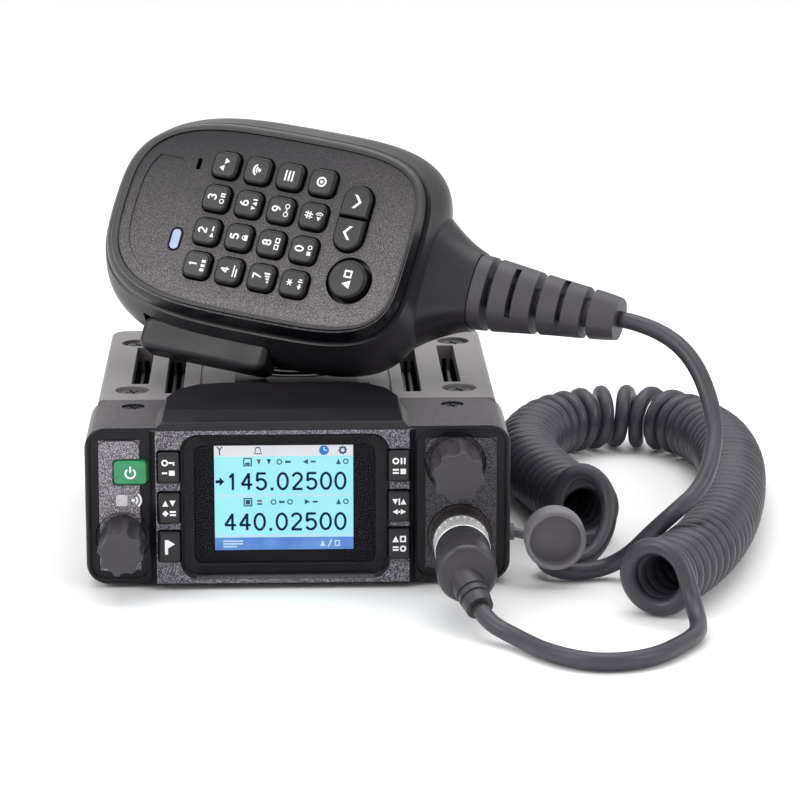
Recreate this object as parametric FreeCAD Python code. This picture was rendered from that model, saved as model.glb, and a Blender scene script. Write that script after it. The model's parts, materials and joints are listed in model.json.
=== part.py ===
import FreeCAD, Part
import math
import os

# Mobile transceiver with a corded hand microphone.  Millimetres, +Z up, -Y is
# the front.  The geometry is laid out from the front edge of the case; on
# writing, everything moves so that the origin is the middle of the front foot,
# on the surface the set stands on.

os.makedirs("parts", exist_ok=True)
V = FreeCAD.Vector

# ---------------------------------------------------------------- dimensions
BODY_W = 98.0            # front housing width
BODY_R = 5.0             # corner radius of the front outline
FOOT_H = 0.8             # how far the rubber feet stand below the case
FRONT_FOOT_Y = 12.0      # middle of the front foot, behind the front edge
REAR_FOOT_Y = 96.0
TOP_Z = 38.1             # top of the case
HOUSING_D = 27.5         # depth of the plastic front housing
CHASSIS_W = 94.4         # width of the cast chassis
CHASSIS_END = 105.0      # rear face of the chassis
WALL = 2.2               # wall of the plastic housing
HUMP_Z0, HUMP_Z1 = 39.3, 41.4   # brow height at the front and at the back
BEZEL_X0, BEZEL_X1 = -32.7, 25.6
BEZEL_Y = -2.0           # front face of the raised centre bezel
BEZEL_BAND = 1.6         # sloped band beside the bezel
WIN_X0, WIN_X1, WIN_Z0, WIN_Z1 = -26.4, 20.3, 2.9, 36.2
LCD_X0, LCD_X1, LCD_Z0, LCD_Z1 = -19.3, 12.7, 8.6, 34.3
KEYL_X, KEYR_X = -29.65, 23.2
KEY_W, KEY_H = 4.9, 7.2
KEYL_Z = (29.3, 19.7, 10.5)
KEYR_Z = (29.3, 19.7, 10.8)
KEY_OUT = 1.3            # how far the side keys stand out of the bezel
KEY_TRAVEL = 0.8
POWER_X, POWER_Z, POWER_W, POWER_H = -38.5, 27.6, 7.6, 5.5
TX_X, TX_Z, TX_S = -40.6, 20.9, 2.7
VOL_X, VOL_Z, VOL_R, VOL_LEN = -40.5, 11.9, 5.25, 14.0
CHN_X, CHN_Z, CHN_R, CHN_LEN = 36.3, 29.2, 6.0, 14.0
MIC_X, MIC_Z = 37.3, 12.0
FAN_X, FAN_Y, FAN_R = 0.0, 68.0, 17.5
ANT_X, ANT_Z = -22.0, 22.5
DC_X, DC_Z = 27.0, 12.0
SPK_X, SPK_Z = 6.0, 24.0
BRACKET_Y = (52.0, 77.0)
BRACKET_Z = 19.5
CORD_D = 4.0             # wire of the curly cord
COIL_R = 8.5             # outer radius of the coiled stretch
KEYPAD_PITCH = 8.58

# The hand microphone is drawn upright in its own frame (x its right, y away
# from its cable, z out of its face) and laid on its side on the case.
MIC_AT = V(-8.48, 50.0, 75.9)
_xm = V(0.279, 0.389, 0.878)
_ym = V(-0.902, 0.417, 0.105)
_xm.normalize()
_zm = _xm.cross(_ym)
_zm.normalize()
_ym = _zm.cross(_xm)


def mic_place(shape):
    m = FreeCAD.Matrix(_xm.x, _ym.x, _zm.x, MIC_AT.x,
                       _xm.y, _ym.y, _zm.y, MIC_AT.y,
                       _xm.z, _ym.z, _zm.z, MIC_AT.z,
                       0, 0, 0, 1)
    s = shape.copy()
    s.Placement = FreeCAD.Placement(m).multiply(s.Placement)
    return s


# ------------------------------------------------------------------- helpers
parts = {}


def keep(name, shape, on_mic=False):
    if on_mic:
        shape = mic_place(shape)
    parts[name] = shape


def box(x0, x1, y0, y1, z0, z1):
    return Part.makeBox(x1 - x0, y1 - y0, z1 - z0, V(x0, y0, z0))


def cyl(x, y, z, r, h, axis=(0, 0, 1)):
    return Part.makeCylinder(r, h, V(x, y, z), V(*axis))


def cone(x, y, z, r1, r2, h, axis=(0, 0, 1)):
    return Part.makeCone(r1, r2, h, V(x, y, z), V(*axis))


def fuse(*s):
    out = s[0]
    for o in s[1:]:
        out = out.fuse(o)
    return out.removeSplitter()


def cut(a, *s):
    for o in s:
        a = a.cut(o)
    return a


def rrect_wire(w, h, r, origin, u, v):
    """Rounded rectangle w x h centred on origin, in the plane of u and v."""
    u, v = V(*u), V(*v)
    o = V(*origin)

    def p(a, b):
        return o + u * a + v * b
    hw, hh = w / 2.0, h / 2.0
    k = r * (1 - math.sqrt(0.5))
    e = []
    e.append(Part.LineSegment(p(-hw + r, -hh), p(hw - r, -hh)).toShape())
    e.append(Part.Arc(p(hw - r, -hh), p(hw - k, -hh + k), p(hw, -hh + r)).toShape())
    e.append(Part.LineSegment(p(hw, -hh + r), p(hw, hh - r)).toShape())
    e.append(Part.Arc(p(hw, hh - r), p(hw - k, hh - k), p(hw - r, hh)).toShape())
    e.append(Part.LineSegment(p(hw - r, hh), p(-hw + r, hh)).toShape())
    e.append(Part.Arc(p(-hw + r, hh), p(-hw + k, hh - k), p(-hw, hh - r)).toShape())
    e.append(Part.LineSegment(p(-hw, hh - r), p(-hw, -hh + r)).toShape())
    e.append(Part.Arc(p(-hw, -hh + r), p(-hw + k, -hh + k), p(-hw + r, -hh)).toShape())
    return Part.Wire(e)


def rprism(w, h, r, origin, u, v, d):
    return Part.Face(rrect_wire(w, h, r, origin, u, v)).extrude(V(*d))


def ybar(cx, cz, w, h, r, y0, y1):
    """Rounded bar along Y."""
    return rprism(w, h, r, (cx, y0, cz), (1, 0, 0), (0, 0, 1), (0, y1 - y0, 0))


def zbar(cx, cy, w, h, r, z0, z1):
    return rprism(w, h, r, (cx, cy, z0), (1, 0, 0), (0, 1, 0), (0, 0, z1 - z0))


def poly_prism(pts, d):
    vs = [V(*p) for p in pts]
    return Part.Face(Part.makePolygon(vs + [vs[0]])).extrude(V(*d))


def soft(shape, radius, pick):
    """Round the edges that pick() chooses; a smaller radius is used where the
    full one does not fit."""
    for r in (radius, radius * 0.7, radius * 0.45, radius * 0.25):
        es = [e for e in shape.Edges if pick(e)]
        if not es:
            return shape
        try:
            s = shape.makeFillet(r, es)
            if s.isValid() and s.Volume > 0 and abs(s.Volume - shape.Volume) < 0.2 * shape.Volume:
                return s
        except Exception:
            pass
    return shape


def solid_loft(wires, ruled=False):
    s = Part.makeLoft(wires, True, ruled)
    if not s.isValid():
        s.fix(0.01, 0.01, 0.01)
    return s


def oval(a, yt, yb, nt, nb, z, n=48):
    """Closed smooth outline, half width a, reaching yt up and yb down, squarer
    as nt and nb grow; drawn in the plane z."""
    pts = []
    for i in range(n):
        t = 2 * math.pi * (i + 0.5) / n
        c, s = math.cos(t), math.sin(t)
        ex = 2.0 / (nt if s > 0 else nb)
        x = a * math.copysign(abs(c) ** ex, c)
        y = (yt if s > 0 else -yb) * math.copysign(abs(s) ** ex, s)
        pts.append(V(x, y, z))
    b = Part.BSplineCurve()
    b.interpolate(Points=pts, PeriodicFlag=True)
    return Part.Wire([b.toShape()])


def oval_y(cx, cz, hx, hz, n_, y, n=32):
    pts = []
    for i in range(n):
        t = 2 * math.pi * (i + 0.5) / n
        c, s = math.cos(t), math.sin(t)
        ex = 2.0 / n_
        pts.append(V(cx + hx * math.copysign(abs(c) ** ex, c), y,
                     cz + hz * math.copysign(abs(s) ** ex, s)))
    b = Part.BSplineCurve()
    b.interpolate(Points=pts, PeriodicFlag=True)
    return Part.Wire([b.toShape()])


def rounded_path(pts):
    """Straight runs joined by tangent arcs."""
    p = [V(*q) for q in pts]
    edges, radii = [], []
    last = p[0]
    length = 0.0
    for i in range(1, len(p) - 1):
        a, b = p[i - 1] - p[i], p[i + 1] - p[i]
        la, lb = a.Length, b.Length
        a.normalize()
        b.normalize()
        turn = math.pi - a.getAngle(b)
        cutback = 0.45 * min(la, lb)
        r = cutback / math.tan(turn / 2.0)
        s, e = p[i] + a * cutback, p[i] + b * cutback
        bis = a + b
        bis.normalize()
        centre = p[i] + bis * (r / math.cos(turn / 2.0))
        mid = centre - bis * r
        edges.append(Part.LineSegment(last, s).toShape())
        length += (s - last).Length
        edges.append(Part.Arc(s, mid, e).toShape())
        length += r * turn
        radii.append(r)
        last = e
    edges.append(Part.LineSegment(last, p[-1]).toShape())
    length += (p[-1] - last).Length
    return Part.Wire(edges), length, radii


def tube(name, pts, r):
    path, length, radii = rounded_path(pts)
    d = V(*pts[1]) - V(*pts[0])
    d.normalize()
    prof = Part.Wire([Part.makeCircle(r, V(*pts[0]), d)])
    s = path.makePipeShell([prof], True, False)
    want = math.pi * r * r * length
    runs = [round((V(*pts[i + 1]) - V(*pts[i])).Length, 1) for i in range(len(pts) - 1)]
    print("%s length %.1f smallest radius %.1f volume ratio %.3f valid %s" % (
        name, length, min(radii), s.Volume / want, s.isValid()))
    print("   radii", [round(q, 1) for q in radii])
    print("   runs", runs)
    return s


def lobed(r, lobes, depth, cr, h, origin, axis_y=-1):
    """Fluted knob body along -Y from origin."""
    x, y, z = origin
    s = cyl(x, y, z, r, h, (0, axis_y, 0))
    d = r - depth + cr
    for i in range(lobes):
        t = 2 * math.pi * (i + 0.5) / lobes + 0.2
        s = s.cut(cyl(x + d * math.sin(t), y, z + d * math.cos(t), cr, h, (0, axis_y, 0)))
    return s


def at_y(y, tol=1e-4):
    return lambda e: abs(e.BoundBox.YMin - y) < tol and abs(e.BoundBox.YMax - y) < tol


# ------------------------------------------------------------ front housing
mid_z = (FOOT_H + TOP_Z) / 2.0
case_h = TOP_Z - FOOT_H
shell = ybar(0, mid_z, BODY_W, case_h, BODY_R, 0, HOUSING_D)
shell = soft(shell, 0.6, at_y(0.0))
bw = BEZEL_X1 - BEZEL_X0
bcx = (BEZEL_X0 + BEZEL_X1) / 2.0
# raised centre: bezel in front, brow above, one continuous side profile
side = [(0, BEZEL_Y, FOOT_H + 0.6), (0, BEZEL_Y, HUMP_Z0 - 1.6), (0, BEZEL_Y + 1.6, HUMP_Z0),
        (0, 8.0, HUMP_Z0 + 1.1), (0, 30.6, HUMP_Z1), (0, 30.6, TOP_Z + 0.15),
        (0, HOUSING_D, TOP_Z + 0.15), (0, HOUSING_D, TOP_Z - 4.0), (0, 3.0, TOP_Z - 6.0),
        (0, 3.0, FOOT_H + 0.6)]
brow = poly_prism([(BEZEL_X0, p[1], p[2]) for p in side], (bw, 0, 0))
# the brow narrows towards the back and its sides lean in
hb = 24.6
plan = [(BEZEL_X0, -4, 0), (BEZEL_X1, -4, 0), (BEZEL_X1, 13.0, 0), (bcx + hb, 25.5, 0),
        (bcx + hb - 4.5, 29.4, 0), (bcx + 14, 30.6, 0), (bcx - 14, 30.6, 0),
        (bcx - hb + 4.5, 29.4, 0), (bcx - hb, 25.5, 0), (BEZEL_X0, 13.0, 0)]
brow = brow.common(poly_prism(plan, (0, 0, 60)))
lean = 1.4
for sx, x in ((-1, BEZEL_X0), (1, BEZEL_X1)):
    brow = brow.cut(poly_prism([(x, -5, TOP_Z + 0.0), (x, -5, 50), (x - sx * 6, -5, 50),
                                (x - sx * lean, -5, HUMP_Z0)], (0, 50, 0)))
brow = soft(brow, 1.0, lambda e: e.BoundBox.ZMin > TOP_Z + 0.6 and e.BoundBox.YMax > -1.9
            and e.BoundBox.YMin < 29 and e.BoundBox.YLength > 3 and
            (e.BoundBox.XMax < bcx - 18 or e.BoundBox.XMin > bcx + 18))
# sloped bands each side of the bezel
for sx, x in ((-1, BEZEL_X0), (1, BEZEL_X1)):
    brow = brow.fuse(poly_prism([(x - sx * 0.5, BEZEL_Y, FOOT_H + 0.6), (x, BEZEL_Y, FOOT_H + 0.6),
                                 (x + sx * BEZEL_BAND, 0.2, FOOT_H + 0.6), (x + sx * BEZEL_BAND, 2.5, FOOT_H + 0.6),
                                 (x - sx * 0.5, 2.5, FOOT_H + 0.6)], (0, 0, TOP_Z - FOOT_H - 1.2)))
housing = fuse(shell, brow)
# hollow inside, open towards the chassis
inner = ybar(0, mid_z, BODY_W - 2 * WALL, case_h - 2 * WALL, BODY_R - 1.5, WALL, HOUSING_D + 1)
housing = housing.cut(inner)
housing = housing.cut(box(BEZEL_X0 + 2.2, BEZEL_X1 - 2.2, BEZEL_Y + 2.6, WALL + 1, 3.2, 36.2))
# grooves that frame the two wings, leaving a raised pad in each
def wing_groove(x0, x1, z0, z1):
    o = ybar((x0 + x1) / 2, (z0 + z1) / 2, x1 - x0, z1 - z0, 3.4, -1, 0.9)
    i = ybar((x0 + x1) / 2, (z0 + z1) / 2, x1 - x0 - 4.2, z1 - z0 - 4.2, 2.0, -2, 2)
    return o.cut(i)
housing = housing.cut(wing_groove(-BODY_W / 2 + 1.1, BEZEL_X0 - BEZEL_BAND - 0.05, FOOT_H + 1.1, TOP_Z - 1.1))
housing = housing.cut(wing_groove(BEZEL_X1 + BEZEL_BAND + 0.05, BODY_W / 2 - 1.1, FOOT_H + 1.1, TOP_Z - 1.1))
# window recess with a sloped surround
wcx, wcz = (WIN_X0 + WIN_X1) / 2, (WIN_Z0 + WIN_Z1) / 2
ww, wh = WIN_X1 - WIN_X0, WIN_Z1 - WIN_Z0
funnel = Part.makeLoft([rrect_wire(ww + 1.6, wh + 1.2, 4.2, (wcx, BEZEL_Y - 0.01, wcz), (1, 0, 0), (0, 0, 1)),
                        rrect_wire(ww, wh, 3.6, (wcx, BEZEL_Y + 0.9, wcz), (1, 0, 0), (0, 0, 1))], True, True)
housing = housing.cut(funnel)
housing = housing.cut(ybar(wcx, wcz, ww, wh, 3.6, BEZEL_Y + 0.8, BEZEL_Y + 2.0))
housing = housing.cut(ybar(wcx, wcz, ww - 5, wh - 5, 2.0, BEZEL_Y + 1.5, WALL + 2))
# key openings
def hole_y(cx, cz, w, h, r, y0=-5, y1=6):
    return ybar(cx, cz, w, h, r, y0, y1)
for z in KEYL_Z:
    housing = housing.cut(hole_y(KEYL_X, z, KEY_W + 0.6, KEY_H + 0.6, 0.7))
for z in KEYR_Z:
    housing = housing.cut(hole_y(KEYR_X, z, KEY_W + 0.6, KEY_H + 0.6, 0.7))
housing = housing.cut(hole_y(POWER_X, POWER_Z, POWER_W + 0.6, POWER_H + 0.6, 1.1))
housing = housing.cut(hole_y(TX_X, TX_Z, TX_S + 0.02, TX_S + 0.02, 0.5))
# knob wells and shaft holes, microphone socket hole
housing = housing.cut(cyl(VOL_X, -1, VOL_Z, VOL_R + 1.0, 2.3, (0, 1, 0)))
housing = housing.cut(cyl(VOL_X, -1, VOL_Z, 3.6, 8, (0, 1, 0)))
housing = housing.cut(cyl(CHN_X, -1, CHN_Z, CHN_R + 1.0, 2.3, (0, 1, 0)))
housing = housing.cut(cyl(CHN_X, -1, CHN_Z, 3.6, 8, (0, 1, 0)))
housing = housing.cut(cyl(MIC_X, -1, MIC_Z, 6.6, 8, (0, 1, 0)))
housing = housing.cut(cyl(MIC_X, -1, MIC_Z, 7.35, 1.4, (0, 1, 0)))
# hole for the dust cap's anchor, right side
CAP_Y, CAP_Z = 3.8, 11.6
housing = housing.cut(cyl(BODY_W / 2 - 4, CAP_Y, CAP_Z, 1.25, 6, (1, 0, 0)))
# screw bosses towards the chassis, with the two housing screws
HS = ((-38.5, 20.8), (36.5, 20.8))
for x, y in HS:
    housing = housing.fuse(cyl(x, y, TOP_Z - 9.0, 3.4, 7.5))
    housing = housing.cut(cyl(x, y, TOP_Z - 1.3, 2.7, 3))
    housing = housing.cut(cyl(x, y, TOP_Z - 9.5, 1.3, 12))
keep("front_housing", housing.removeSplitter())

# ------------------------------------------------------------------ display
win = ybar(wcx, wcz, ww - 0.2, wh - 0.2, 3.5, BEZEL_Y + 1.0, BEZEL_Y + 2.0)
keep("display_window", win)
lcw, lch = LCD_X1 - LCD_X0, LCD_Z1 - LCD_Z0
lcx, lcz = (LCD_X0 + LCD_X1) / 2, (LCD_Z0 + LCD_Z1) / 2
frame = ybar(lcx, lcz, lcw + 6, lch + 2.6, 0.8, BEZEL_Y + 3.2, BEZEL_Y + 6.6)
frame = frame.cut(ybar(lcx, lcz, lcw + 0.5, lch + 0.5, 0.3, BEZEL_Y + 2.5, BEZEL_Y + 4.4))
keep("display_panel", ybar(lcx, lcz, lcw + 0.1, lch + 0.1, 0.2, BEZEL_Y + 2.9, BEZEL_Y + 4.4))
ctl = box(-44, 44, 6.0, 7.6, 4.5, 35.5)
ctl = ctl.cut(cyl(MIC_X, 5, MIC_Z, 7.0, 5, (0, 1, 0)))
for x, y in HS:
    pass
for x, z in ((VOL_X, VOL_Z), (CHN_X, CHN_Z)):
    ctl = ctl.cut(cyl(x, 5, z, 3.4, 5, (0, 1, 0)))
ctl = Part.makeCompound([ctl, frame])
keep("control_board", ctl)

# ----------------------------------------------------- keys, power, TX lamp
def side_key(cx, z):
    k = ybar(cx, z, KEY_W, KEY_H, 0.6, BEZEL_Y - KEY_OUT, 3.2)
    k = soft(k, 0.55, at_y(BEZEL_Y - KEY_OUT))
    k = fuse(k, ybar(cx, z, KEY_W - 0.4 + 1.2, KEY_H + 1.0, 0.6, 2.4 + 0.2, 3.4))
    return k
names_l = ("side_key_left_1", "side_key_left_2", "side_key_left_3")
names_r = ("side_key_right_1", "side_key_right_2", "side_key_right_3")
# pockets behind the bezel for the keys' flanges
hp = parts["front_housing"]
for cx, zs in ((KEYL_X, KEYL_Z), (KEYR_X, KEYR_Z)):
    for z in zs:
        hp = hp.cut(ybar(cx, z, KEY_W + 1.6, KEY_H + 1.4, 0.6, 2.0, 6.0))
hp = hp.cut(ybar(POWER_X, POWER_Z, POWER_W + 2.0, POWER_H + 1.6, 0.8, 2.0, 6.0))
keep("front_housing", hp.removeSplitter())
for n, z in zip(names_l, KEYL_Z):
    keep(n, side_key(KEYL_X, z))
for n, z in zip(names_r, KEYR_Z):
    keep(n, side_key(KEYR_X, z))
pw = ybar(POWER_X, POWER_Z, POWER_W, POWER_H, 1.0, -0.9, 3.2)
pw = soft(pw, 0.5, at_y(-0.9))
pw = fuse(pw, ybar(POWER_X, POWER_Z, POWER_W + 1.2, POWER_H + 0.9, 0.8, 2.6, 3.4))
keep("power_button", pw)
tx = ybar(TX_X, TX_Z, TX_S, TX_S, 0.45, -0.15, 5.8)
keep("tx_lamp", tx)

# ------------------------------------------------------ knobs and their pots
def knob(name, x, z, r, length, lobes):
    y0 = 0.9
    k = lobed(r, lobes, 0.75, r * 0.42, length + 0.9, (x, y0, z))
    k = soft(k, 0.6, at_y(y0 - length - 0.9))
    # skirt
    k = fuse(k, cyl(x, y0, z, r * 0.985, 2.2, (0, -1, 0)))
    # the shaft, pressed into the knob, runs back into the control's bush
    k = fuse(k, cyl(x, y0 - 1.0, z, 1.5, 8.5, (0, 1, 0)))
    keep(name, k)
knob("volume_knob", VOL_X, VOL_Z, VOL_R, VOL_LEN, 8)
knob("channel_knob", CHN_X, CHN_Z, CHN_R, CHN_LEN, 8)
# each control: a body on the board, a threaded bush and a shaft in one piece
def control(name, x, z, w):
    b = ybar(x, z, w, w, 1.0, 7.6, 14.5)
    bush = cyl(x, 7.6, z, 3.3, 6.0, (0, -1, 0))
    return fuse(b, bush).cut(cyl(x, 0.0, z, 1.56, 9.4, (0, 1, 0)))
keep("rotary_controls", Part.makeCompound([control("volume", VOL_X, VOL_Z, 11.0),
                                           control("channel", CHN_X, CHN_Z, 12.0)]))

# ----------------------------------------------- microphone socket and plug
sock = cyl(MIC_X, -0.6, MIC_Z, 7.25, 1.0, (0, 1, 0))
sock = fuse(sock, cyl(MIC_X, 0.4, MIC_Z, 6.5, 9.6, (0, 1, 0)))
sock = fuse(sock, cyl(MIC_X, -0.6, MIC_Z, 6.75, 5.6, (0, -1, 0)), cyl(MIC_X, -6.2, MIC_Z, 5.6, 6.0, (0, -1, 0)))
sock = sock.cut(cyl(MIC_X, -13, MIC_Z, 4.7, 18.0, (0, 1, 0)))
for i in range(7):
    t = 2 * math.pi * i / 7
    r = 2.9 if i < 7 else 0
    sock = sock.fuse(cyl(MIC_X + r * math.sin(t), 5.2, MIC_Z + r * math.cos(t), 0.45, 6.2, (0, -1, 0)))
sock = sock.fuse(cyl(MIC_X, 5.2, MIC_Z, 0.45, 6.2, (0, -1, 0)))
keep("mic_socket", sock.removeSplitter())

insert = cyl(MIC_X, -18.0, MIC_Z, 4.55, 19.6, (0, 1, 0))
for i in range(7):
    t = 2 * math.pi * i / 7
    insert = insert.cut(cyl(MIC_X + 2.9 * math.sin(t), 2.0, MIC_Z + 2.9 * math.cos(t), 0.62, 5.0, (0, -1, 0)))
insert = insert.cut(cyl(MIC_X, 2.0, MIC_Z, 0.62, 5.0, (0, -1, 0)))
ring = cyl(MIC_X, -6.5, MIC_Z, 6.4, 8.0, (0, -1, 0))
ring = ring.cut(cyl(MIC_X, 0.0, MIC_Z, 5.69, 12.9, (0, -1, 0)))
ring = ring.cut(cyl(MIC_X, 0.0, MIC_Z, 4.63, 16, (0, -1, 0)))
ring = soft(ring, 0.35, lambda e: at_y(-14.5)(e) and e.BoundBox.XLength > 12.5)
# fine grip flutes round the coupling ring
for i in range(24):
    t = 2 * math.pi * (i + 0.5) / 24
    ring = ring.cut(cyl(MIC_X + 6.62 * math.sin(t), -7.3, MIC_Z + 6.62 * math.cos(t), 0.42, 5.6, (0, -1, 0)))
keep("plug_coupling_ring", ring)
PB = -14.75
BOOT_END = -33.4
boot = fuse(cyl(MIC_X, PB, MIC_Z, 6.3, 9.8, (0, -1, 0)),
            Part.makeCone(6.3, 6.75, 1.6, V(MIC_X, -24.4, MIC_Z), V(0, -1, 0)),
            cyl(MIC_X, -25.9, MIC_Z, 6.75, -25.9 - BOOT_END, (0, -1, 0)))
boot = soft(boot, 1.6, at_y(BOOT_END))
for k in range(4):
    yk = PB - 3.4 - 1.5 * k
    g = cyl(MIC_X, yk, MIC_Z, 9, 0.6, (0, -1, 0)).cut(cyl(MIC_X, yk + 1, MIC_Z, 5.95, 3, (0, -1, 0)))
    boot = boot.cut(g)
# tapered rear neck, drooping with the cable
N0 = V(37.0, -31.0, 10.4)
N1 = V(39.8, -39.4, 6.2)
nd = N1 - N0
nl = nd.Length
nd.normalize()
neck = Part.makeCone(4.2, 3.1, nl, N0, nd)
for k in range(2):
    q = N0 + nd * (4.7 + 1.9 * k)
    rr = 4.2 - 1.1 * (4.7 + 1.9 * k) / nl
    gk = Part.makeCylinder(7, 0.6, q, nd).cut(Part.makeCylinder(rr - 0.35, 2.0, q - nd * 0.5, nd))
    gk = gk.cut(box(20, 60, BOOT_END, 0, 0, 30))
    neck = neck.cut(gk)
boot = fuse(boot, neck)
boot = fuse(boot, insert)
keep("mic_plug", boot)

# ----------------------------------------------------------- rubber dust cap
CX = 59.2
cap = cyl(CX, 1.2, CAP_Z, 7.1, 6.2, (0, -1, 0))
cap = soft(cap, 0.7, lambda e: e.BoundBox.XLength > 14)
cap = cap.cut(cyl(CX, -0.3, CAP_Z, 6.0, 6.0, (0, -1, 0)))
strap = box(BODY_W / 2 + 0.05, CX - 5.5, -1.6 + 0.4, 0.6, CAP_Z + 0.2, CAP_Z + 2.0)
strap = box(BODY_W / 2 + 0.35, CX - 6.4, -0.9, 0.9, CAP_Z - 0.9, CAP_Z + 0.9)
pad = cyl(BODY_W / 2 + 0.0, CAP_Y, CAP_Z, 2.0, 1.1, (1, 0, 0))
link = poly_prism([(BODY_W / 2 + 0.2, CAP_Y - 1.0, CAP_Z - 0.9), (BODY_W / 2 + 1.1, CAP_Y + 0.9, CAP_Z - 0.9),
                   (CX - 6.0, 0.9, CAP_Z - 0.9), (CX - 6.0, -0.7, CAP_Z - 0.9)], (0, 0, 1.8))
stem = cyl(BODY_W / 2 - 3.4, CAP_Y, CAP_Z, 1.2, 3.6, (1, 0, 0))
cap = fuse(cap, link, pad, stem)
keep("dust_cap", cap)

# ------------------------------------------------------------------- chassis
cw = CHASSIS_W / 2
CT = 34.6                # underside of the top cover
BT = 2.6                 # top of the bottom cover
sides = zbar(0, (HOUSING_D + CHASSIS_END) / 2, CHASSIS_W, CHASSIS_END - HOUSING_D, 4.0, BT, CT)
sides = sides.fuse(box(-cw, cw, HOUSING_D, HOUSING_D + 8, BT, CT))
sides = sides.cut(box(-cw + 2.6, cw - 2.6, HOUSING_D - 1, CHASSIS_END - 3.0, BT - 1, CT + 1))
# cast shelf between board and speaker
sides = sides.fuse(box(-cw + 2.0, cw - 2.0, HOUSING_D + 5, CHASSIS_END - 2.0, 13.5, 16.0))
# side ribs, run along the case
for sx in (-1, 1):
    for z in (7.0, 11.5, 27.5, 32.0):
        sides = sides.cut(box(min(sx * cw, sx * (cw - 0.9)), max(sx * cw, sx * (cw - 0.9)),
                              HOUSING_D + 4, CHASSIS_END - 6, z - 0.8, z + 0.8))
# threaded bosses for a mounting bracket
for sx in (-1, 1):
    for y in BRACKET_Y:
        sides = sides.fuse(cyl(sx * (cw - 6.0), y, BRACKET_Z, 4.0, 6.0, (sx, 0, 0)))
        sides = sides.cut(cyl(sx * (cw - 7.0), y, BRACKET_Z, 2.0, 8.0, (sx, 0, 0)))
# screw posts in the corners
CS = ((-39.4, 37.6), (39.0, 37.6), (-40.0, 89.5), (40.0, 89.5))
for x, y in CS:
    sides = sides.fuse(cyl(x, y, BT, 3.6, CT - BT))
    sx = 1 if x > 0 else -1
    sides = sides.fuse(box(min(x, sx * (cw - 2)), max(x, sx * (cw - 2)), y - 2.0, y + 2.0, BT, CT))
    sides = sides.cut(cyl(x, y, CT - 8.0, 1.3, 9.0))
    sides = sides.cut(cyl(x, y, BT - 1, 1.3, 8.0))
# spacers under the main board
for x, y in ((-30, 36), (30, 36), (-30, 92), (12, 92)):
    sides = sides.fuse(cyl(x, y, 15.0, 2.2, 3.2))
# rear wall openings
sides = sides.cut(cyl(ANT_X, CHASSIS_END - 5, ANT_Z, 6.1, 8, (0, 1, 0)))
sides = sides.cut(ybar(DC_X, DC_Z + 9.0, 18.2, 10.2, 1.5, CHASSIS_END - 5, CHASSIS_END + 2))
sides = sides.cut(cyl(SPK_X, CHASSIS_END - 5, SPK_Z, 4.05, 8, (0, 1, 0)))
keep("chassis", sides.removeSplitter())

# --------------------------------------------------- slotted top heat spreader
top = zbar(0, (HOUSING_D + CHASSIS_END) / 2 + 0.05, CHASSIS_W, CHASSIS_END - HOUSING_D - 0.1, 4.0, CT, TOP_Z)
top = top.fuse(box(-cw, cw, HOUSING_D + 0.0, HOUSING_D + 8, CT, TOP_Z)).removeSplitter()
top = soft(top, 1.2, lambda e: abs(e.BoundBox.ZMin - TOP_Z) < 1e-3 and abs(e.BoundBox.ZMax - TOP_Z) < 1e-3
           and e.BoundBox.YMax > HOUSING_D + 1)
# notch in the front edge where the brow reaches over
for x0, x1, y0, y1 in ((35.5, 39.7, 43.8, 84.1), (-39.9, -35.6, 43.8, 84.1),
                       (25.6, 29.8, 33.9, 81.9), (-31.6, -27.2, 33.9, 81.9)):
    top = top.cut(box(x0, x1, y0, y1, CT - 1, TOP_Z + 1))
for x in (-23.0, 22.4):
    top = top.cut(box(x - 0.35, x + 0.35, 31.5, 96.0, TOP_Z - 1.0, TOP_Z + 1))
# fan opening with its guard
top = top.cut(cyl(FAN_X, FAN_Y, CT - 1, FAN_R + 0.8, 6))
guard = None
for r0, r1 in ((4.2, 6.0), (9.4, 10.8), (14.0, 15.4)):
    g = cyl(FAN_X, FAN_Y, TOP_Z - 2.0, r1, 1.6).cut(cyl(FAN_X, FAN_Y, TOP_Z - 3, r0, 4))
    guard = g if guard is None else guard.fuse(g)
for a in (45, 135):
    bar = box(-FAN_R - 1.4, FAN_R + 1.4, -0.8, 0.8, TOP_Z - 2.0, TOP_Z - 0.4)
    bar.rotate(V(0, 0, 0), V(0, 0, 1), a)
    bar.translate(V(FAN_X, FAN_Y, 0))
    guard = guard.fuse(bar)
top = top.fuse(guard)
# cross fins between the inner slots and the fan
for x0, x1 in ((-17.6, -14.2), (14.2, 17.6)):
    top = top.cut(box(x0, x1, 36.0, 44.0, TOP_Z - 2.2, TOP_Z + 1))
for y in (37.0, 41.0, 94.0, 98.0):
    top = top.cut(box(-11.0, 11.0, y - 0.8, y + 0.8, TOP_Z - 1.4, TOP_Z + 1))
for x, y in CS:
    top = top.cut(cyl(x, y, TOP_Z - 1.9, 4.1, 3))
    top = top.cut(cyl(x, y, CT - 1, 1.7, 6))
# cooling fins below the slots, joined to the cover at both ends
for x in (-38.6, -36.6, 36.6, 38.5, -30.4, -28.4, 26.8, 28.6):
    y1 = 85.7 if abs(x) > 33 else 83.5
    y0 = 41.4 if abs(x) > 33 else 31.5
    top = top.fuse(box(x - 0.4, x + 0.4, y0, y1, 24.0, CT + 0.8).cut(box(x - 1, x + 1, y0 + 2.4, y1 - 1.6, CT - 3.0, 50)))
keep("top_cover", top.removeSplitter())

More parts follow.
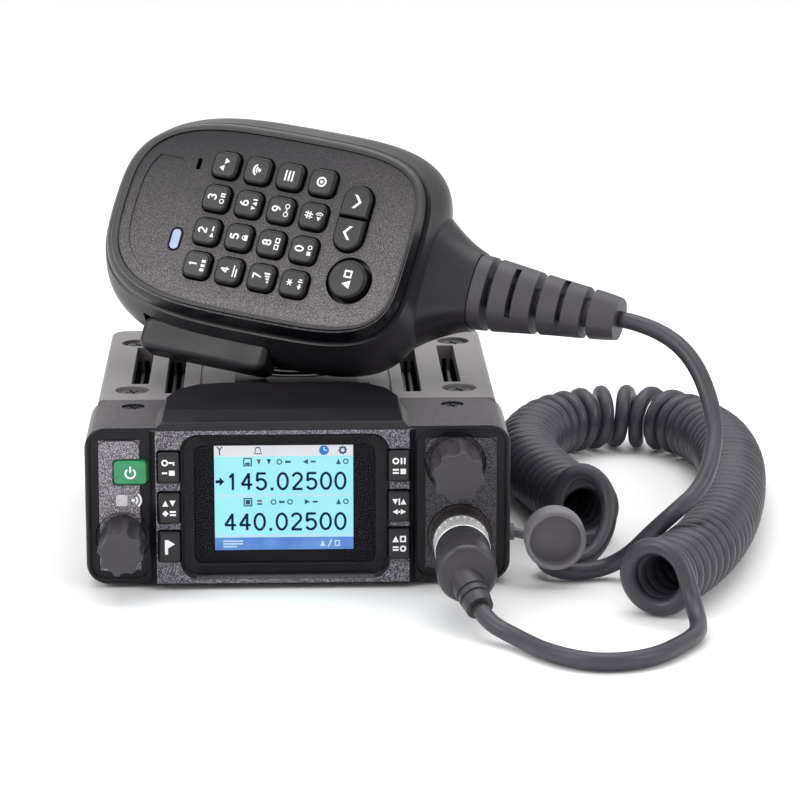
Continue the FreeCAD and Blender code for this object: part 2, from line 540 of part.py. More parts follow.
# ---------------------------------------------------------------------- fan
ff = zbar(FAN_X, FAN_Y, 38.0, 38.0, 3.0, 24.6, CT)
ff = ff.cut(cyl(FAN_X, FAN_Y, 23.0, FAN_R, 20))
ff = ff.fuse(cyl(FAN_X, FAN_Y, 24.6, 7.5, 1.2))
for a in (0, 90):
    bar = box(-FAN_R - 0.5, FAN_R + 0.5, -1.0, 1.0, 24.6, 25.8)
    bar.rotate(V(0, 0, 0), V(0, 0, 1), a)
    bar.translate(V(FAN_X, FAN_Y, 0))
    ff = ff.fuse(bar)
ff = ff.fuse(cyl(FAN_X, FAN_Y, 25.8, 1.2, 4.0))
keep("fan_frame", ff.removeSplitter())
rot = cyl(FAN_X, FAN_Y, 26.3, 7.4, 7.0)
rot = soft(rot, 0.8, lambda e: abs(e.BoundBox.ZMin - 33.3) < 1e-3 and abs(e.BoundBox.ZMax - 33.3) < 1e-3)
for i in range(7):
    b = box(6.8, 16.6, -0.6, 0.6, -3.6, 3.6)
    b.rotate(V(0, 0, 0), V(1, 0, 0), 42)
    b = b.common(box(0, 30, -8, 8, -3.0, 3.0))
    b.rotate(V(0, 0, 0), V(0, 0, 1), i * 360.0 / 7)
    b.translate(V(FAN_X, FAN_Y, 29.8))
    rot = rot.fuse(b)
rot = rot.cut(cyl(FAN_X, FAN_Y, 26.0, 1.25, 4.5))
keep("fan_rotor", rot.removeSplitter())

# ------------------------------------------------------- board, speaker, base
board = box(-42.0, 42.0, 30.0, 96.5, 18.2, 19.8)
for x, y in CS:
    board = board.cut(cyl(x, y, 17, 4.6, 5))
    board = board.cut(box(x if x > 0 else -43, 43 if x > 0 else x, y - 2.4, y + 2.4, 17, 21))
for y in BRACKET_Y:
    board = board.cut(box(40.4, 43, y - 4.3, y + 4.3, 17, 21))
    board = board.cut(box(-43, -40.4, y - 4.3, y + 4.3, 17, 21))
keep("main_board", board)
spk = cone(0, 62, 4.0, 18.0, 9.0, 4.0)
spk = fuse(cyl(0, 62, 2.6, 18.0, 1.8), cone(0, 62, 4.4, 16.5, 9.0, 3.4), cyl(0, 62, 7.8, 9.0, 4.6))
keep("speaker", spk)
bot = zbar(0, (HOUSING_D + CHASSIS_END) / 2, CHASSIS_W, CHASSIS_END - HOUSING_D - 0.1, 4.0, FOOT_H, BT)
bot = bot.fuse(box(-cw, cw, HOUSING_D + 0.1, HOUSING_D + 8, FOOT_H, BT)).removeSplitter()
for i in range(-3, 4):
    hl = math.sqrt(15.0 ** 2 - (i * 4.2) ** 2)
    bot = bot.cut(zbar(i * 4.2, 62, 2.0, 2 * hl, 0.95, FOOT_H - 1, BT + 1))
BS = CS
for x, y in BS:
    bot = bot.cut(cyl(x, y, FOOT_H - 1, 3.1, 1.9))
    bot = bot.cut(cyl(x, y, FOOT_H - 1, 1.7, 4))
keep("bottom_cover", bot)
feet = [zbar(0, y, 60.0, 7.0, 3.4, 0, FOOT_H) for y in (FRONT_FOOT_Y, REAR_FOOT_Y)]
keep("rubber_feet", Part.makeCompound(feet))

# ------------------------------------------------------------------ fasteners
def screw_down(x, y, z_top, head_r, head_h, shank_r, length):
    s = fuse(cyl(x, y, z_top - head_h, head_r, head_h), cyl(x, y, z_top - head_h - length, shank_r, length))
    s = soft(s, 0.35, lambda e: abs(e.BoundBox.ZMin - z_top) < 1e-3 and abs(e.BoundBox.ZMax - z_top) < 1e-3)
    for a in (25, 115):
        b = box(-head_r * 0.62, head_r * 0.62, -0.32, 0.32, z_top - 0.75, z_top + 1)
        b.rotate(V(0, 0, 0), V(0, 0, 1), a)
        b.translate(V(x, y, 0))
        s = s.cut(b)
    return s
bs = [screw_down(x, y, TOP_Z - 0.35, 2.55, 0.95, 1.28, 6.0) for x, y in HS]
bs += [screw_down(x, y, TOP_Z - 0.5, 2.9, 1.4, 1.28, 6.5) for x, y in CS]
for x, y in BS:
    s = screw_down(x, y, 0.0, 2.7, 0.8, 1.28, 5.0)
    s.rotate(V(x, y, 0), V(1, 0, 0), 180)
    s.translate(V(0, 0, FOOT_H + 0.05))
    bs.append(s)
keep("case_screws", Part.makeCompound(bs))

# ------------------------------------------------------------ rear connectors
ant = cyl(ANT_X, CHASSIS_END, ANT_Z, 9.2, 2.2, (0, 1, 0))
ant = fuse(ant, cyl(ANT_X, CHASSIS_END + 2.2, ANT_Z, 7.94, 12.0, (0, 1, 0)),
           cyl(ANT_X, CHASSIS_END, ANT_Z, 6.0, 6.0, (0, -1, 0)))
ant = ant.cut(cyl(ANT_X, CHASSIS_END + 4.2, ANT_Z, 6.2, 12.0, (0, 1, 0)))
ani = cyl(ANT_X, CHASSIS_END + 4.2, ANT_Z, 6.15, 1.6, (0, 1, 0))
ani = fuse(ani, cyl(ANT_X, CHASSIS_END + 5.8, ANT_Z, 3.0, 6.4, (0, 1, 0)))
ani = ani.cut(cyl(ANT_X, CHASSIS_END + 4.4, ANT_Z, 2.0, 12.0, (0, 1, 0)))
keep("antenna_socket", Part.makeCompound([ant, ani]))
dcs = ybar(DC_X, DC_Z + 9.0, 18.0, 10.0, 1.4, CHASSIS_END - 8.0, CHASSIS_END + 1.4)
dcs = dcs.cut(ybar(DC_X, DC_Z + 9.0, 15.4, 7.4, 1.0, CHASSIS_END - 6.0, CHASSIS_END + 2))
for dx in (-3.9, 3.9):
    dcs = dcs.fuse(box(DC_X + dx - 0.5, DC_X + dx + 0.5, CHASSIS_END - 6.5, CHASSIS_END - 0.6, DC_Z + 7.0, DC_Z + 11.0))
keep("dc_inlet", dcs.removeSplitter())
spj = cyl(SPK_X, CHASSIS_END - 9.0, SPK_Z, 4.0, 9.0, (0, 1, 0))
spj = fuse(spj, cyl(SPK_X, CHASSIS_END, SPK_Z, 5.2, 1.4, (0, 1, 0)))
spj = spj.cut(cyl(SPK_X, CHASSIS_END - 8.0, SPK_Z, 1.8, 12, (0, 1, 0)))
keep("speaker_jack", spj)

# ============================================================ hand microphone
P = KEYPAD_PITCH
COLX = (-1.5 * P, -0.5 * P, 0.5 * P, 1.5 * P)
ROWY = (1.5 * P, 0.5 * P, -0.5 * P, -1.5 * P)
FZ = -0.45               # recessed textured panel
fs = solid_loft([oval(25.0, 41.0, -38.9, 3.1, 4.0, -5.6), oval(25.0, 41.0, -38.9, 3.1, 4.0, -4.4)], True)
fs2 = solid_loft([oval(25.0, 41.0, -38.9, 3.1, 4.0, -4.4), oval(24.55, 40.5, -38.7, 3.1, 4.0, -3.0),
                  oval(23.7, 39.0, -38.5, 3.1, 4.2, -1.2), oval(22.9, 37.6, -38.3, 3.2, 4.4, 0.0)])
fsh = fs.fuse(fs2)
fsh = fsh.cut(solid_loft([oval(21.9, 36.2, -37.6, 3.2, 4.5, FZ), oval(22.3, 36.8, -37.9, 3.2, 4.5, 0.4)], True))
fsh = fsh.cut(solid_loft([oval(22.6, 38.2, -36.4, 3.1, 4.0, -7.0), oval(21.2, 35.6, -35.2, 3.2, 4.3, -2.4)], True))
# key wells
for x in COLX:
    for y in ROWY:
        fsh = fsh.cut(zbar(x, y, 7.5, 7.7, 2.3, -6, 2))
UPX, UPY, DNX, DNY, ABX, ABY = 9.7, -23.1, 1.5, -22.9, -9.4, -26.0
def cap_shape(x0, x1, yc, w, r_lo, r_hi, z0, z1):
    """Half capsule from x0 to x1 along x, height w, round at one end."""
    s = zbar((x0 + x1) / 2, yc, x1 - x0, w, 1.2, z0, z1)
    return s
fsh = fsh.cut(zbar(5.6, -23.0, 17.2, 8.2, 4.0, -6, 2))
fsh = fsh.cut(cyl(ABX, ABY, -6, 5.85, 9))
fsh = fsh.cut(zbar(-7.4, 20.7, 5.0, 2.2, 1.05, -6, 2))
fsh = fsh.cut(zbar(12.2, 20.3, 3.0, 1.2, 0.55, -6, 2))
# name plate recess, left blank
plate = solid_loft([oval(19.6, 33.9, -30, 3.2, 4.5, FZ - 0.35), oval(19.6, 33.9, -30, 3.2, 4.5, FZ + 1)], True)
plate = plate.common(zbar(-1.5, 29.5, 29.0, 12.5, 2.4, -3, 3))
fsh = fsh.cut(plate)
keep("mic_front_shell", fsh.removeSplitter(), True)

BZ = (-5.7, -10.5, -15.5, -20.0, -25.0, -29.5, -32.0)
BA = (25.7, 28.4, 30.0, 29.5, 26.9, 22.8, 17.0)
BY = (41.9, 43.4, 43.8, 42.6, 39.6, 34.6, 28.0)
BB = (-39.9, -41.0, -41.4, -40.6, -38.0, -33.5, -27.0)
bs_ = solid_loft([oval(a, yt, yb, 3.1, 3.9, z) for a, yt, yb, z in zip(BA, BY, BB, BZ)])
neck_sec = [(-20.0, 0.0, -17.2, 26.6, 10.6, 3.2), (-27.0, 0.0, -17.4, 25.6, 10.6, 3.2), (-32.5, -0.3, -17.8, 22.8, 10.4, 3.0),
            (-37.5, -0.7, -18.3, 18.2, 9.9, 2.8), (-42.5, -1.0, -18.8, 14.2, 9.2, 2.6),
            (-47.5, -1.3, -19.2, 11.2, 8.4, 2.5), (-51.5, -1.5, -19.5, 9.6, 7.8, 2.5)]
nk = solid_loft([oval_y(cx, cz, hx, hz, n_, y) for y, cx, cz, hx, hz, n_ in neck_sec])
back = bs_.fuse(nk)
hol = solid_loft([oval(a - 2.0, yt - 2.2, yb + 2.4, 3.1, 3.9, z) for a, yt, yb, z in
                  ((25.7, 41.9, -39.9, -5.0), (28.4, 43.4, -41.0, -10.5), (30.0, 43.8, -41.4, -15.5),
                   (29.5, 42.6, -40.6, -20.0), (26.9, 39.6, -38.0, -25.0), (22.8, 34.6, -33.5, -29.0))])
back = back.cut(hol)
# cable bore in the neck
back = back.cut(Part.makeCylinder(2.3, 22.0, V(-1.5, -54.0, -19.5), V(0, 1, 0)))
# push-to-talk pocket in the left flank
PT0, PT1 = -7.0, 27.0
back = back.cut(box(-40, -22.6, PT0 - 0.4, PT1 + 0.4, -18.4, -8.9))
# hang-up stud hole and screw holes in the back
back = back.cut(Part.makeCylinder(2.0, 8, V(0, 10, -34), V(0, 0, 1)))
MS = ((-14.0, 22.0), (14.0, 22.0), (-14.0, -22.0), (14.0, -22.0))
for x, y in MS:
    back = back.cut(Part.makeCylinder(2.3, 3.2, V(x, y, -33), V(0, 0, 1)))
    back = back.cut(Part.makeCylinder(1.2, 9, V(x, y, -34), V(0, 0, 1)))
keep("mic_back_shell", back.removeSplitter(), True)

# push-to-talk bar
ptt = zbar(-29.2, (PT0 + PT1) / 2, 8.6, PT1 - PT0, 2.6, -18.0, -9.3)
ptt = soft(ptt, 1.6, lambda e: e.BoundBox.XMax < -30.5 and e.BoundBox.ZLength < 0.01)
ptt = fuse(ptt, box(-25.6, -23.0, PT0 + 4, PT1 - 4, -15.6, -11.6))
ptt = ptt.cut(box(-34.5, -33.0, PT0 + 4, PT1 - 4, -14.1, -13.2))
keep("ptt_bar", ptt, True)

KTOP = 1.15              # key tops above the rim plane
def mkey(x, y):
    k = zbar(x, y, 6.7, 6.9, 1.9, -2.2, KTOP)
    k = soft(k, 0.75, lambda e: abs(e.BoundBox.ZMin - KTOP) < 1e-3 and abs(e.BoundBox.ZMax - KTOP) < 1e-3)
    return k
LAB = (("1", "2", "3", "a"), ("4", "5", "6", "b"), ("7", "8", "9", "c"), ("star", "0", "hash", "d"))
for j, y in enumerate(ROWY):
    for i, x in enumerate(COLX):
        keep("mic_key_" + LAB[j][i], mkey(x, y), True)
def halfkey(xc, w, name, side_):
    full = zbar(5.6, -23.0, 16.4, 7.4, 3.65, -2.2, KTOP)
    if side_ > 0:
        k = full.common(box(5.85, 20, -30, -15, -5, 5))
    else:
        k = full.common(box(-10, 5.35, -30, -15, -5, 5))
    k = soft(k, 0.6, lambda e: abs(e.BoundBox.ZMin - KTOP) < 1e-3 and abs(e.BoundBox.ZMax - KTOP) < 1e-3)
    keep(name, k, True)
halfkey(9.9, 8, "mic_key_down", 1)
halfkey(1.3, 8, "mic_key_up", -1)
ab = cyl(ABX, ABY, -2.2, 4.9, KTOP + 2.2)
ab = soft(ab, 0.8, lambda e: abs(e.BoundBox.ZMin - KTOP) < 1e-3 and abs(e.BoundBox.ZMax - KTOP) < 1e-3)
keep("mic_key_ab", ab, True)
keep("mic_lamp", zbar(-7.4, 20.7, 4.98, 2.18, 1.04, -3.9, FZ + 0.15), True)
pcb = solid_loft([oval(20.4, 34.5, -34.5, 3.2, 4.3, -5.4), oval(20.4, 34.5, -34.5, 3.2, 4.3, -3.9)], True)
pcb = pcb.fuse(Part.makeCylinder(3.0, 4.6, V(12.2, 20.3, -9.9), V(0, 0, 1)))
keep("mic_board", pcb, True)
stud = fuse(Part.makeCylinder(1.95, 5.4, V(0, 10, -33.9), V(0, 0, 1)),
            Part.makeCylinder(5.0, 2.2, V(0, 10, -36.1), V(0, 0, 1)))
ms = []
for x, y in MS:
    s = fuse(Part.makeCylinder(2.1, 1.2, V(x, y, -31.2), V(0, 0, 1)), Part.makeCylinder(1.18, 4.0, V(x, y, -30.0), V(0, 0, 1)))
    ms.append(s)
keep("mic_hardware", Part.makeCompound([stud] + ms), True)

# strain relief: a tapering sleeve slit from the two sides in turn
sr = solid_loft([oval_y(-1.5, -19.5, hx, hz, 2.6, y) for y, hx, hz in
                 ((-51.6, 9.0, 7.3), (-58.0, 8.5, 6.9), (-66.0, 7.5, 6.2), (-76.0, 6.4, 5.4), (-87.5, 5.0, 4.5))])
core = Part.makeCylinder(3.3, 40, V(-1.5, -50, -19.5), V(0, -1, 0))
for y in (-55.8, -67.9, -80.2):
    sl = box(-15, 12, y - 0.95, y + 0.95, -30, -10)
    sl = sl.cut(core).cut(box(-15, 12, y - 2, y + 2, -21.1, -17.9).common(box(-4.7, 1.7, -100, 0, -30, -10)))
    sr = sr.cut(sl)
for y in (-61.8, -74.0):
    sl = box(-7.6, 4.6, y - 0.7, y + 0.7, -30, -10).cut(core)
    sr = sr.cut(sl)
keep("mic_strain_relief", sr, True)


def mic_point(x, y, z):
    return MIC_AT + _xm * x + _ym * y + _zm * z


# ------------------------------------------------------------------ the cord
S0 = mic_point(-1.5, -87.5, -19.5)
S1 = mic_point(-1.5, -96.0, -19.5)
print("mic lead starts", S0, "towards", S1, "microphone axes", _xm, _ym, _zm)
MIC_LEAD = [(S0.x, S0.y, S0.z), (S1.x, S1.y, S1.z), (93.2, 18.0, 49.6), (97.4, 8.0, 37.2), (95.4, -1.2, 29.4),
            (92.0, -6.4, 23.8), (86.6, -10.2, 20.3), (80.8, -5.0, 13.0), (77.2, 1.4, 6.6), (72.6, 4.4, 2.9),
            (67.6, 3.4, 2.1), (63.2, 2.0, 2.1), (58.0, 4.8, 4.2), (56.8, 10.6, 6.6), (60.4, 15.4, 4.8), (68.0, 17.8, 3.2)]
COIL = [(69.0, 32.0, 8.5), (65.6, 48.0, 8.5), (61.4, 64.0, 8.5), (58.4, 82.0, 8.5), (60.2, 102.0, 8.5),
        (68.6, 121.0, 8.5), (86.0, 130.4, 8.5), (101.6, 123.0, 8.5), (109.6, 103.0, 8.5),
        (110.6, 80.0, 8.5), (108.0, 56.0, 8.5), (103.8, 32.0, 8.5), (98.2, 10.0, 8.5),
        (90.2, -11.0, 8.5), (80.4, -29.0, 8.5)]
# the lead meets the coil's end face on its right, below the middle
a0 = V(*COIL[0])
ax0 = V(*COIL[1]) - a0
ax0.normalize()
sidev = ax0.cross(V(0, 0, 1))
J0 = a0 + sidev * 6.1 + V(0, 0, -1.8)
K0 = J0 - ax0 * 9.4
MIC_LEAD = MIC_LEAD + [(K0.x, K0.y, K0.z), (J0.x, J0.y, J0.z)]
a1 = V(*COIL[-1])
ax1 = V(*COIL[-2]) - a1
ax1.normalize()
side1 = ax1.cross(V(0, 0, 1))
J1 = a1 + side1 * 6.1 + V(0, 0, -1.8)
K1 = J1 - ax1 * 4.0
print("coil end joins", J0, J1, "axes", ax0, ax1)
PLUG_LEAD = [(J1.x, J1.y, J1.z), (K1.x, K1.y, K1.z), (86.0, -43.0, 2.9), (83.8, -53.4, 2.1), (75.4, -63.9, 2.1),
             (63.8, -67.2, 2.1), (53.9, -60.4, 2.1), (47.4, -48.8, 2.2)]
E1 = N1
PLUG_LEAD = PLUG_LEAD + [(E1.x + nd.x * 4.5, E1.y + nd.y * 4.5, E1.z + nd.z * 4.5), (E1.x, E1.y, E1.z)]
keep("coiled_cord", tube("coiled_cord", COIL, COIL_R))
keep("mic_lead", tube("mic_lead", MIC_LEAD, CORD_D / 2))
keep("plug_lead", tube("plug_lead", PLUG_LEAD, CORD_D / 2))

# -------------------------------------------------------------------- export
bad = []
for name in sorted(parts):
    s = parts[name]
    if s.ShapeType not in ("Solid", "Compound"):
        sol = s.Solids
        s = sol[0] if len(sol) == 1 else Part.makeCompound(sol)
    elif s.ShapeType == "Compound":
        sol = s.Solids
        s = sol[0] if len(sol) == 1 else Part.makeCompound(sol)
    s = s.copy()
    s.translate(V(0, -FRONT_FOOT_Y, 0))
    ok = s.isValid() and all(q.isClosed() for q in s.Solids)
    if not ok:
        bad.append(name)
    b = s.optimalBoundingBox(False)
    print("%-20s solids %d vol %9.1f  x %.1f..%.1f y %.1f..%.1f z %.1f..%.1f %s" % (
        name, len(s.Solids), s.Volume, b.XMin, b.XMax, b.YMin, b.YMax, b.ZMin, b.ZMax, "" if ok else "INVALID"))
    s.exportStep("parts/%s.step" % name)
print(len(parts), "nodes; invalid:", bad)
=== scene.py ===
import bpy
import json
import math
import numpy as np
from mathutils import Vector, Matrix
from mathutils.geometry import tessellate_polygon


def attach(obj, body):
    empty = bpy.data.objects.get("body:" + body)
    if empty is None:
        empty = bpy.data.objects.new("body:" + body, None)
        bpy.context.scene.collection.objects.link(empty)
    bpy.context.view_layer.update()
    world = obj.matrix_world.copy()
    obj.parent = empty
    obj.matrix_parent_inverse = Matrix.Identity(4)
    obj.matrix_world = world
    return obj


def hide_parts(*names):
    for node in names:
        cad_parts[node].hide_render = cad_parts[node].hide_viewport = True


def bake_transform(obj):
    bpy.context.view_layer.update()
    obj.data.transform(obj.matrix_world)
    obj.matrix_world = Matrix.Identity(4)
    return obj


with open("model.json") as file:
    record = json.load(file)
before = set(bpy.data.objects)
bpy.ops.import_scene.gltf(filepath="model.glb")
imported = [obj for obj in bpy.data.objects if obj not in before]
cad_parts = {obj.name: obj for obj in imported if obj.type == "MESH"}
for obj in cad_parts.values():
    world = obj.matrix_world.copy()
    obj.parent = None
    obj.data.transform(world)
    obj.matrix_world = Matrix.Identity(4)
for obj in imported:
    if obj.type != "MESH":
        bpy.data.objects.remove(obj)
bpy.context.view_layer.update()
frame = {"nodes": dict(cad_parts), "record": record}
nodes = frame["nodes"]
scene = bpy.context.scene
scene.view_settings.view_transform = "Standard"
scene.view_settings.look = "None"

MM = 0.001
FRONT = -0.012           # the case's front edge, in the row frame

# ------------------------------------------------------------------- camera
cam_data = bpy.data.cameras.new("camera")
cam_data.sensor_width = 36.0
cam_data.lens = 3466.0 / 800.0 * 36.0
cam_data.clip_start, cam_data.clip_end = 0.05, 30.0
camera = bpy.data.objects.new("camera", cam_data)
scene.collection.objects.link(camera)
pitch, yaw = math.radians(13.5), math.radians(1.96)
look = Vector((math.sin(yaw) * math.cos(pitch), math.cos(yaw) * math.cos(pitch), -math.sin(pitch)))
camera.location = (-0.00295, -0.784, 0.2296)
camera.rotation_mode = "QUATERNION"
camera.rotation_quaternion = look.to_track_quat("-Z", "Y")
scene.camera = camera


# ----------------------------------------------------------------- materials
def new_mat(name):
    m = bpy.data.materials.new(name)
    m.use_nodes = True
    nt = m.node_tree
    bsdf = nt.nodes["Principled BSDF"]
    tc = nt.nodes.new("ShaderNodeTexCoord")
    return m, nt, bsdf, tc


def noise(nt, tc, scale, detail=2.0, rough=0.5):
    n = nt.nodes.new("ShaderNodeTexNoise")
    n.inputs["Scale"].default_value = scale
    n.inputs["Detail"].default_value = detail
    n.inputs["Roughness"].default_value = rough
    nt.links.new(tc.outputs["Object"], n.inputs["Vector"])
    return n


def ramp(nt, src, stops):
    r = nt.nodes.new("ShaderNodeValToRGB")
    e = r.color_ramp.elements
    e[0].position, e[0].color = stops[0][0], (*stops[0][1], 1)
    e[1].position, e[1].color = stops[-1][0], (*stops[-1][1], 1)
    for p, c in stops[1:-1]:
        x = e.new(p)
        x.color = (*c, 1)
    nt.links.new(src, r.inputs["Fac"])
    return r


def maprange(nt, src, a, b, c, d):
    m = nt.nodes.new("ShaderNodeMapRange")
    m.inputs["From Min"].default_value = a
    m.inputs["From Max"].default_value = b
    m.inputs["To Min"].default_value = c
    m.inputs["To Max"].default_value = d
    nt.links.new(src, m.inputs["Value"])
    return m


def mixcol(nt, fac, a, b, blend="MIX"):
    m = nt.nodes.new("ShaderNodeMix")
    m.data_type = "RGBA"
    m.blend_type = blend
    for s, v in ((m.inputs[0], fac), (m.inputs[6], a), (m.inputs[7], b)):
        if hasattr(v, "is_output"):
            nt.links.new(v, s)
        elif isinstance(v, (int, float)):
            s.default_value = v
        else:
            s.default_value = (*v, 1)
    return m.outputs[2]


def surface(name, base, rough, metal=0.0, spec=0.5, vary=0.12, vary_scale=90.0, grain=0.0, grain_scale=2600.0,
            glint_speck=None, rough_var=0.06, wave=0.0, coat=0.0, sheen=0.0, emission=None, strength=0.0, edge=0.0):
    """One moulded, cast or plated finish: colour varied by a broad noise, moulded grain as bump, and fine glints of
    light painted into the colour as pale specks.
    """
    if max(base) < 0.07 and max(base) - min(base) < 0.03:
        base = (base[0], base[1] * 0.97, base[2] * 1.04)    # the blacks lean slightly to violet
    m, nt, b, tc = new_mat(name)
    b.inputs["Metallic"].default_value = metal
    b.inputs["Specular IOR Level"].default_value = spec
    if coat:
        b.inputs["Coat Weight"].default_value = coat
        b.inputs["Coat Roughness"].default_value = 0.12
    if sheen:
        b.inputs["Sheen Weight"].default_value = sheen
        b.inputs["Sheen Roughness"].default_value = 0.4
    broad = noise(nt, tc, vary_scale, 3.0)
    lo = tuple(c * (1 - vary) for c in base)
    hi = tuple(min(1, c * (1 + vary)) for c in base)
    col = ramp(nt, broad.outputs["Fac"], [(0.3, lo), (0.7, hi)]).outputs["Color"]
    fine = noise(nt, tc, grain_scale, 2.0, 0.6)
    # painted highlight: where the fine grain noise peaks, the colour turns pale, standing in for glints of light on the
    # grain
    if glint_speck:
        k, c = glint_speck
        mask = maprange(nt, fine.outputs["Fac"], k, k + 0.10, 0.0, 1.0)
        col = mixcol(nt, mask.outputs["Result"], col, c)
    nt.links.new(col, b.inputs["Base Color"])
    rv = maprange(nt, broad.outputs["Fac"], 0.3, 0.7, max(0.02, rough - rough_var), min(1, rough + rough_var))
    nt.links.new(rv.outputs["Result"], b.inputs["Roughness"])
    last = None
    if edge:
        bev = nt.nodes.new("ShaderNodeBevel")
        bev.samples = 4
        bev.inputs["Radius"].default_value = edge
        last = bev.outputs["Normal"]
    if grain:
        bp = nt.nodes.new("ShaderNodeBump")
        bp.inputs["Strength"].default_value = 1.0
        bp.inputs["Distance"].default_value = grain
        nt.links.new(fine.outputs["Fac"], bp.inputs["Height"])
        if last:
            nt.links.new(last, bp.inputs["Normal"])
        last = bp.outputs["Normal"]
    if last:
        nt.links.new(last, b.inputs["Normal"])
    if emission:
        b.inputs["Emission Color"].default_value = (*emission, 1)
        b.inputs["Emission Strength"].default_value = strength
    return m


def glow(name, a, b_, strength, scale=120.0):
    """A lit screen colour with a faint unevenness."""
    m, nt, b, tc = new_mat(name)
    n = noise(nt, tc, scale, 2.0)
    col = ramp(nt, n.outputs["Fac"], [(0.3, a), (0.7, b_)]).outputs["Color"]
    nt.links.new(mixcol(nt, 1.0, col, (0.22, 0.22, 0.22), "MULTIPLY"), b.inputs["Base Color"])
    nt.links.new(col, b.inputs["Emission Color"])
    b.inputs["Emission Strength"].default_value = strength
    b.inputs["Roughness"].default_value = 0.6
    b.inputs["Specular IOR Level"].default_value = 0.1
    return m


def put(mat, *names):
    for n in names:
        o = nodes[n]
        o.data.materials.clear()
        o.data.materials.append(mat)


# --------------------------------------------------------------- mesh helpers
def mesh_piece(name, verts, faces, mat, body, smooth=False):
    me = bpy.data.meshes.new(name)
    me.from_pydata([tuple(v) for v in verts], [], [tuple(f) for f in faces])
    me.validate()
    me.update()
    o = bpy.data.objects.new(name, me)
    scene.collection.objects.link(o)
    me.materials.append(mat)
    if smooth:
        for p in me.polygons:
            p.use_smooth = True
    if body:
        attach(o, body)
    return o


def route_line(points, res=16):
    """The line of a NURBS spline with these control points, as points."""
    cu = bpy.data.curves.new("route", "CURVE")
    cu.dimensions = "3D"
    sp = cu.splines.new("NURBS")
    sp.points.add(len(points) - 1)
    for p, q in zip(sp.points, points):
        p.co = (q[0], q[1], q[2], 1.0)
    sp.order_u = 3
    sp.use_endpoint_u = True
    sp.resolution_u = res
    ob = bpy.data.objects.new("route", cu)
    scene.collection.objects.link(ob)
    bpy.context.view_layer.update()
    dg = bpy.context.evaluated_depsgraph_get()
    me = bpy.data.meshes.new_from_object(ob.evaluated_get(dg))
    pts = np.array([v.co for v in me.vertices], float)
    bpy.data.meshes.remove(me)
    bpy.data.objects.remove(ob)
    bpy.data.curves.remove(cu)
    return pts


def spaced(pts, step):
    """The same line with its points at least step apart."""
    keep = [pts[0]]
    for p in pts[1:-1]:
        if np.linalg.norm(p - keep[-1]) >= step:
            keep.append(p)
    keep.append(pts[-1])
    return np.array(keep)


def tube_mesh(name, pts, radius, mat, sides=12):
    d = np.gradient(pts, axis=0)
    d /= np.linalg.norm(d, axis=1)[:, None]
    n = np.cross(d[0], (0.0, 0.0, 1.0))
    n /= np.linalg.norm(n)
    verts, faces = [], []
    ang = np.linspace(0, 2 * math.pi, sides, endpoint=False)
    for i, (p, t) in enumerate(zip(pts, d)):
        n = n - t * (n @ t)
        n /= np.linalg.norm(n)
        m = np.cross(t, n)
        r = radius(i) if callable(radius) else radius
        for a in ang:
            verts.append(p + r * (math.cos(a) * n + math.sin(a) * m))
    for i in range(len(pts) - 1):
        for k in range(sides):
            a, b_ = i * sides + k, i * sides + (k + 1) % sides
            faces.append((a, b_, b_ + sides, a + sides))
    faces.append(tuple(range(sides - 1, -1, -1)))
    last = (len(pts) - 1) * sides
    faces.append(tuple(last + k for k in range(sides)))
    me = bpy.data.meshes.new(name)
    me.from_pydata([tuple(v) for v in verts], [], faces)
    me.update()
    for p in me.polygons[:-2]:
        p.use_smooth = True
    me.materials.append(mat)
    o = bpy.data.objects.new(name, me)
    scene.collection.objects.link(o)
    return o


# -------------------------------------------------------------------- the cord
# One 4 mm wire: out of the hand microphone's strain relief, down to the surface,
# through a tight turn into the coiled stretch, round it, and on to the plug.
MIC_LEAD = [(0.07650, 0.01702, 0.05648), (0.08418, 0.01348, 0.05561), (0.09320, 0.00600, 0.04960),
            (0.09740, -0.00400, 0.03720), (0.09540, -0.01320, 0.02940), (0.09200, -0.01840, 0.02380),
            (0.08660, -0.02220, 0.02030), (0.08080, -0.01700, 0.01300), (0.07720, -0.01060, 0.00660),
            (0.07260, -0.00800, 0.00290), (0.06760, -0.00900, 0.00210), (0.06330, -0.00985, 0.00210),
            (0.06010, -0.00935, 0.00250), (0.05770, -0.00730, 0.00340), (0.05720, -0.00470, 0.00400),
            (0.05850, -0.00220, 0.00380), (0.06130, -0.00125, 0.00300)]
# the first, wide turn, loose in front of the coil
WIDE_TURN = [(0.06620, -0.00110, 0.00225), (0.06990, 0.00110, 0.00370), (0.07280, 0.00490, 0.00720),
             (0.07410, 0.00880, 0.01140), (0.07370, 0.01180, 0.01560), (0.07130, 0.01400, 0.01890),
             (0.06740, 0.01530, 0.02020), (0.06350, 0.01600, 0.01780), (0.06150, 0.01650, 0.01200),
             (0.06220, 0.01710, 0.00620), (0.06560, 0.01790, 0.00270)]
COIL = [(0.0690, 0.0200, 0.0085), (0.0656, 0.0360, 0.0085), (0.0614, 0.0520, 0.0085), (0.0584, 0.0700, 0.0085),
        (0.0602, 0.0900, 0.0085), (0.0686, 0.1090, 0.0085), (0.0860, 0.1184, 0.0085), (0.1016, 0.1110, 0.0085),
        (0.1096, 0.0910, 0.0085), (0.1106, 0.0680, 0.0085), (0.1080, 0.0440, 0.0085), (0.1038, 0.0200, 0.0085),
        (0.0982, -0.0020, 0.0085), (0.0900, -0.0230, 0.0085), (0.0794, -0.0410, 0.0085)]
PLUG_LEAD = [(0.08710, -0.04620, 0.00740), (0.08780, -0.04900, 0.00460), (0.08820, -0.05260, 0.00270),
             (0.08750, -0.05800, 0.00212), (0.08420, -0.06440, 0.00210),
             (0.07560, -0.07600, 0.00210), (0.06380, -0.07930, 0.00210), (0.05390, -0.07240, 0.00210),
             (0.04740, -0.06080, 0.00220), (0.04109, -0.05526, 0.00427), (0.03980, -0.05140, 0.00620)]
WIRE, TURN_R = 0.004, 0.0065
axis_line = route_line(COIL, 24)
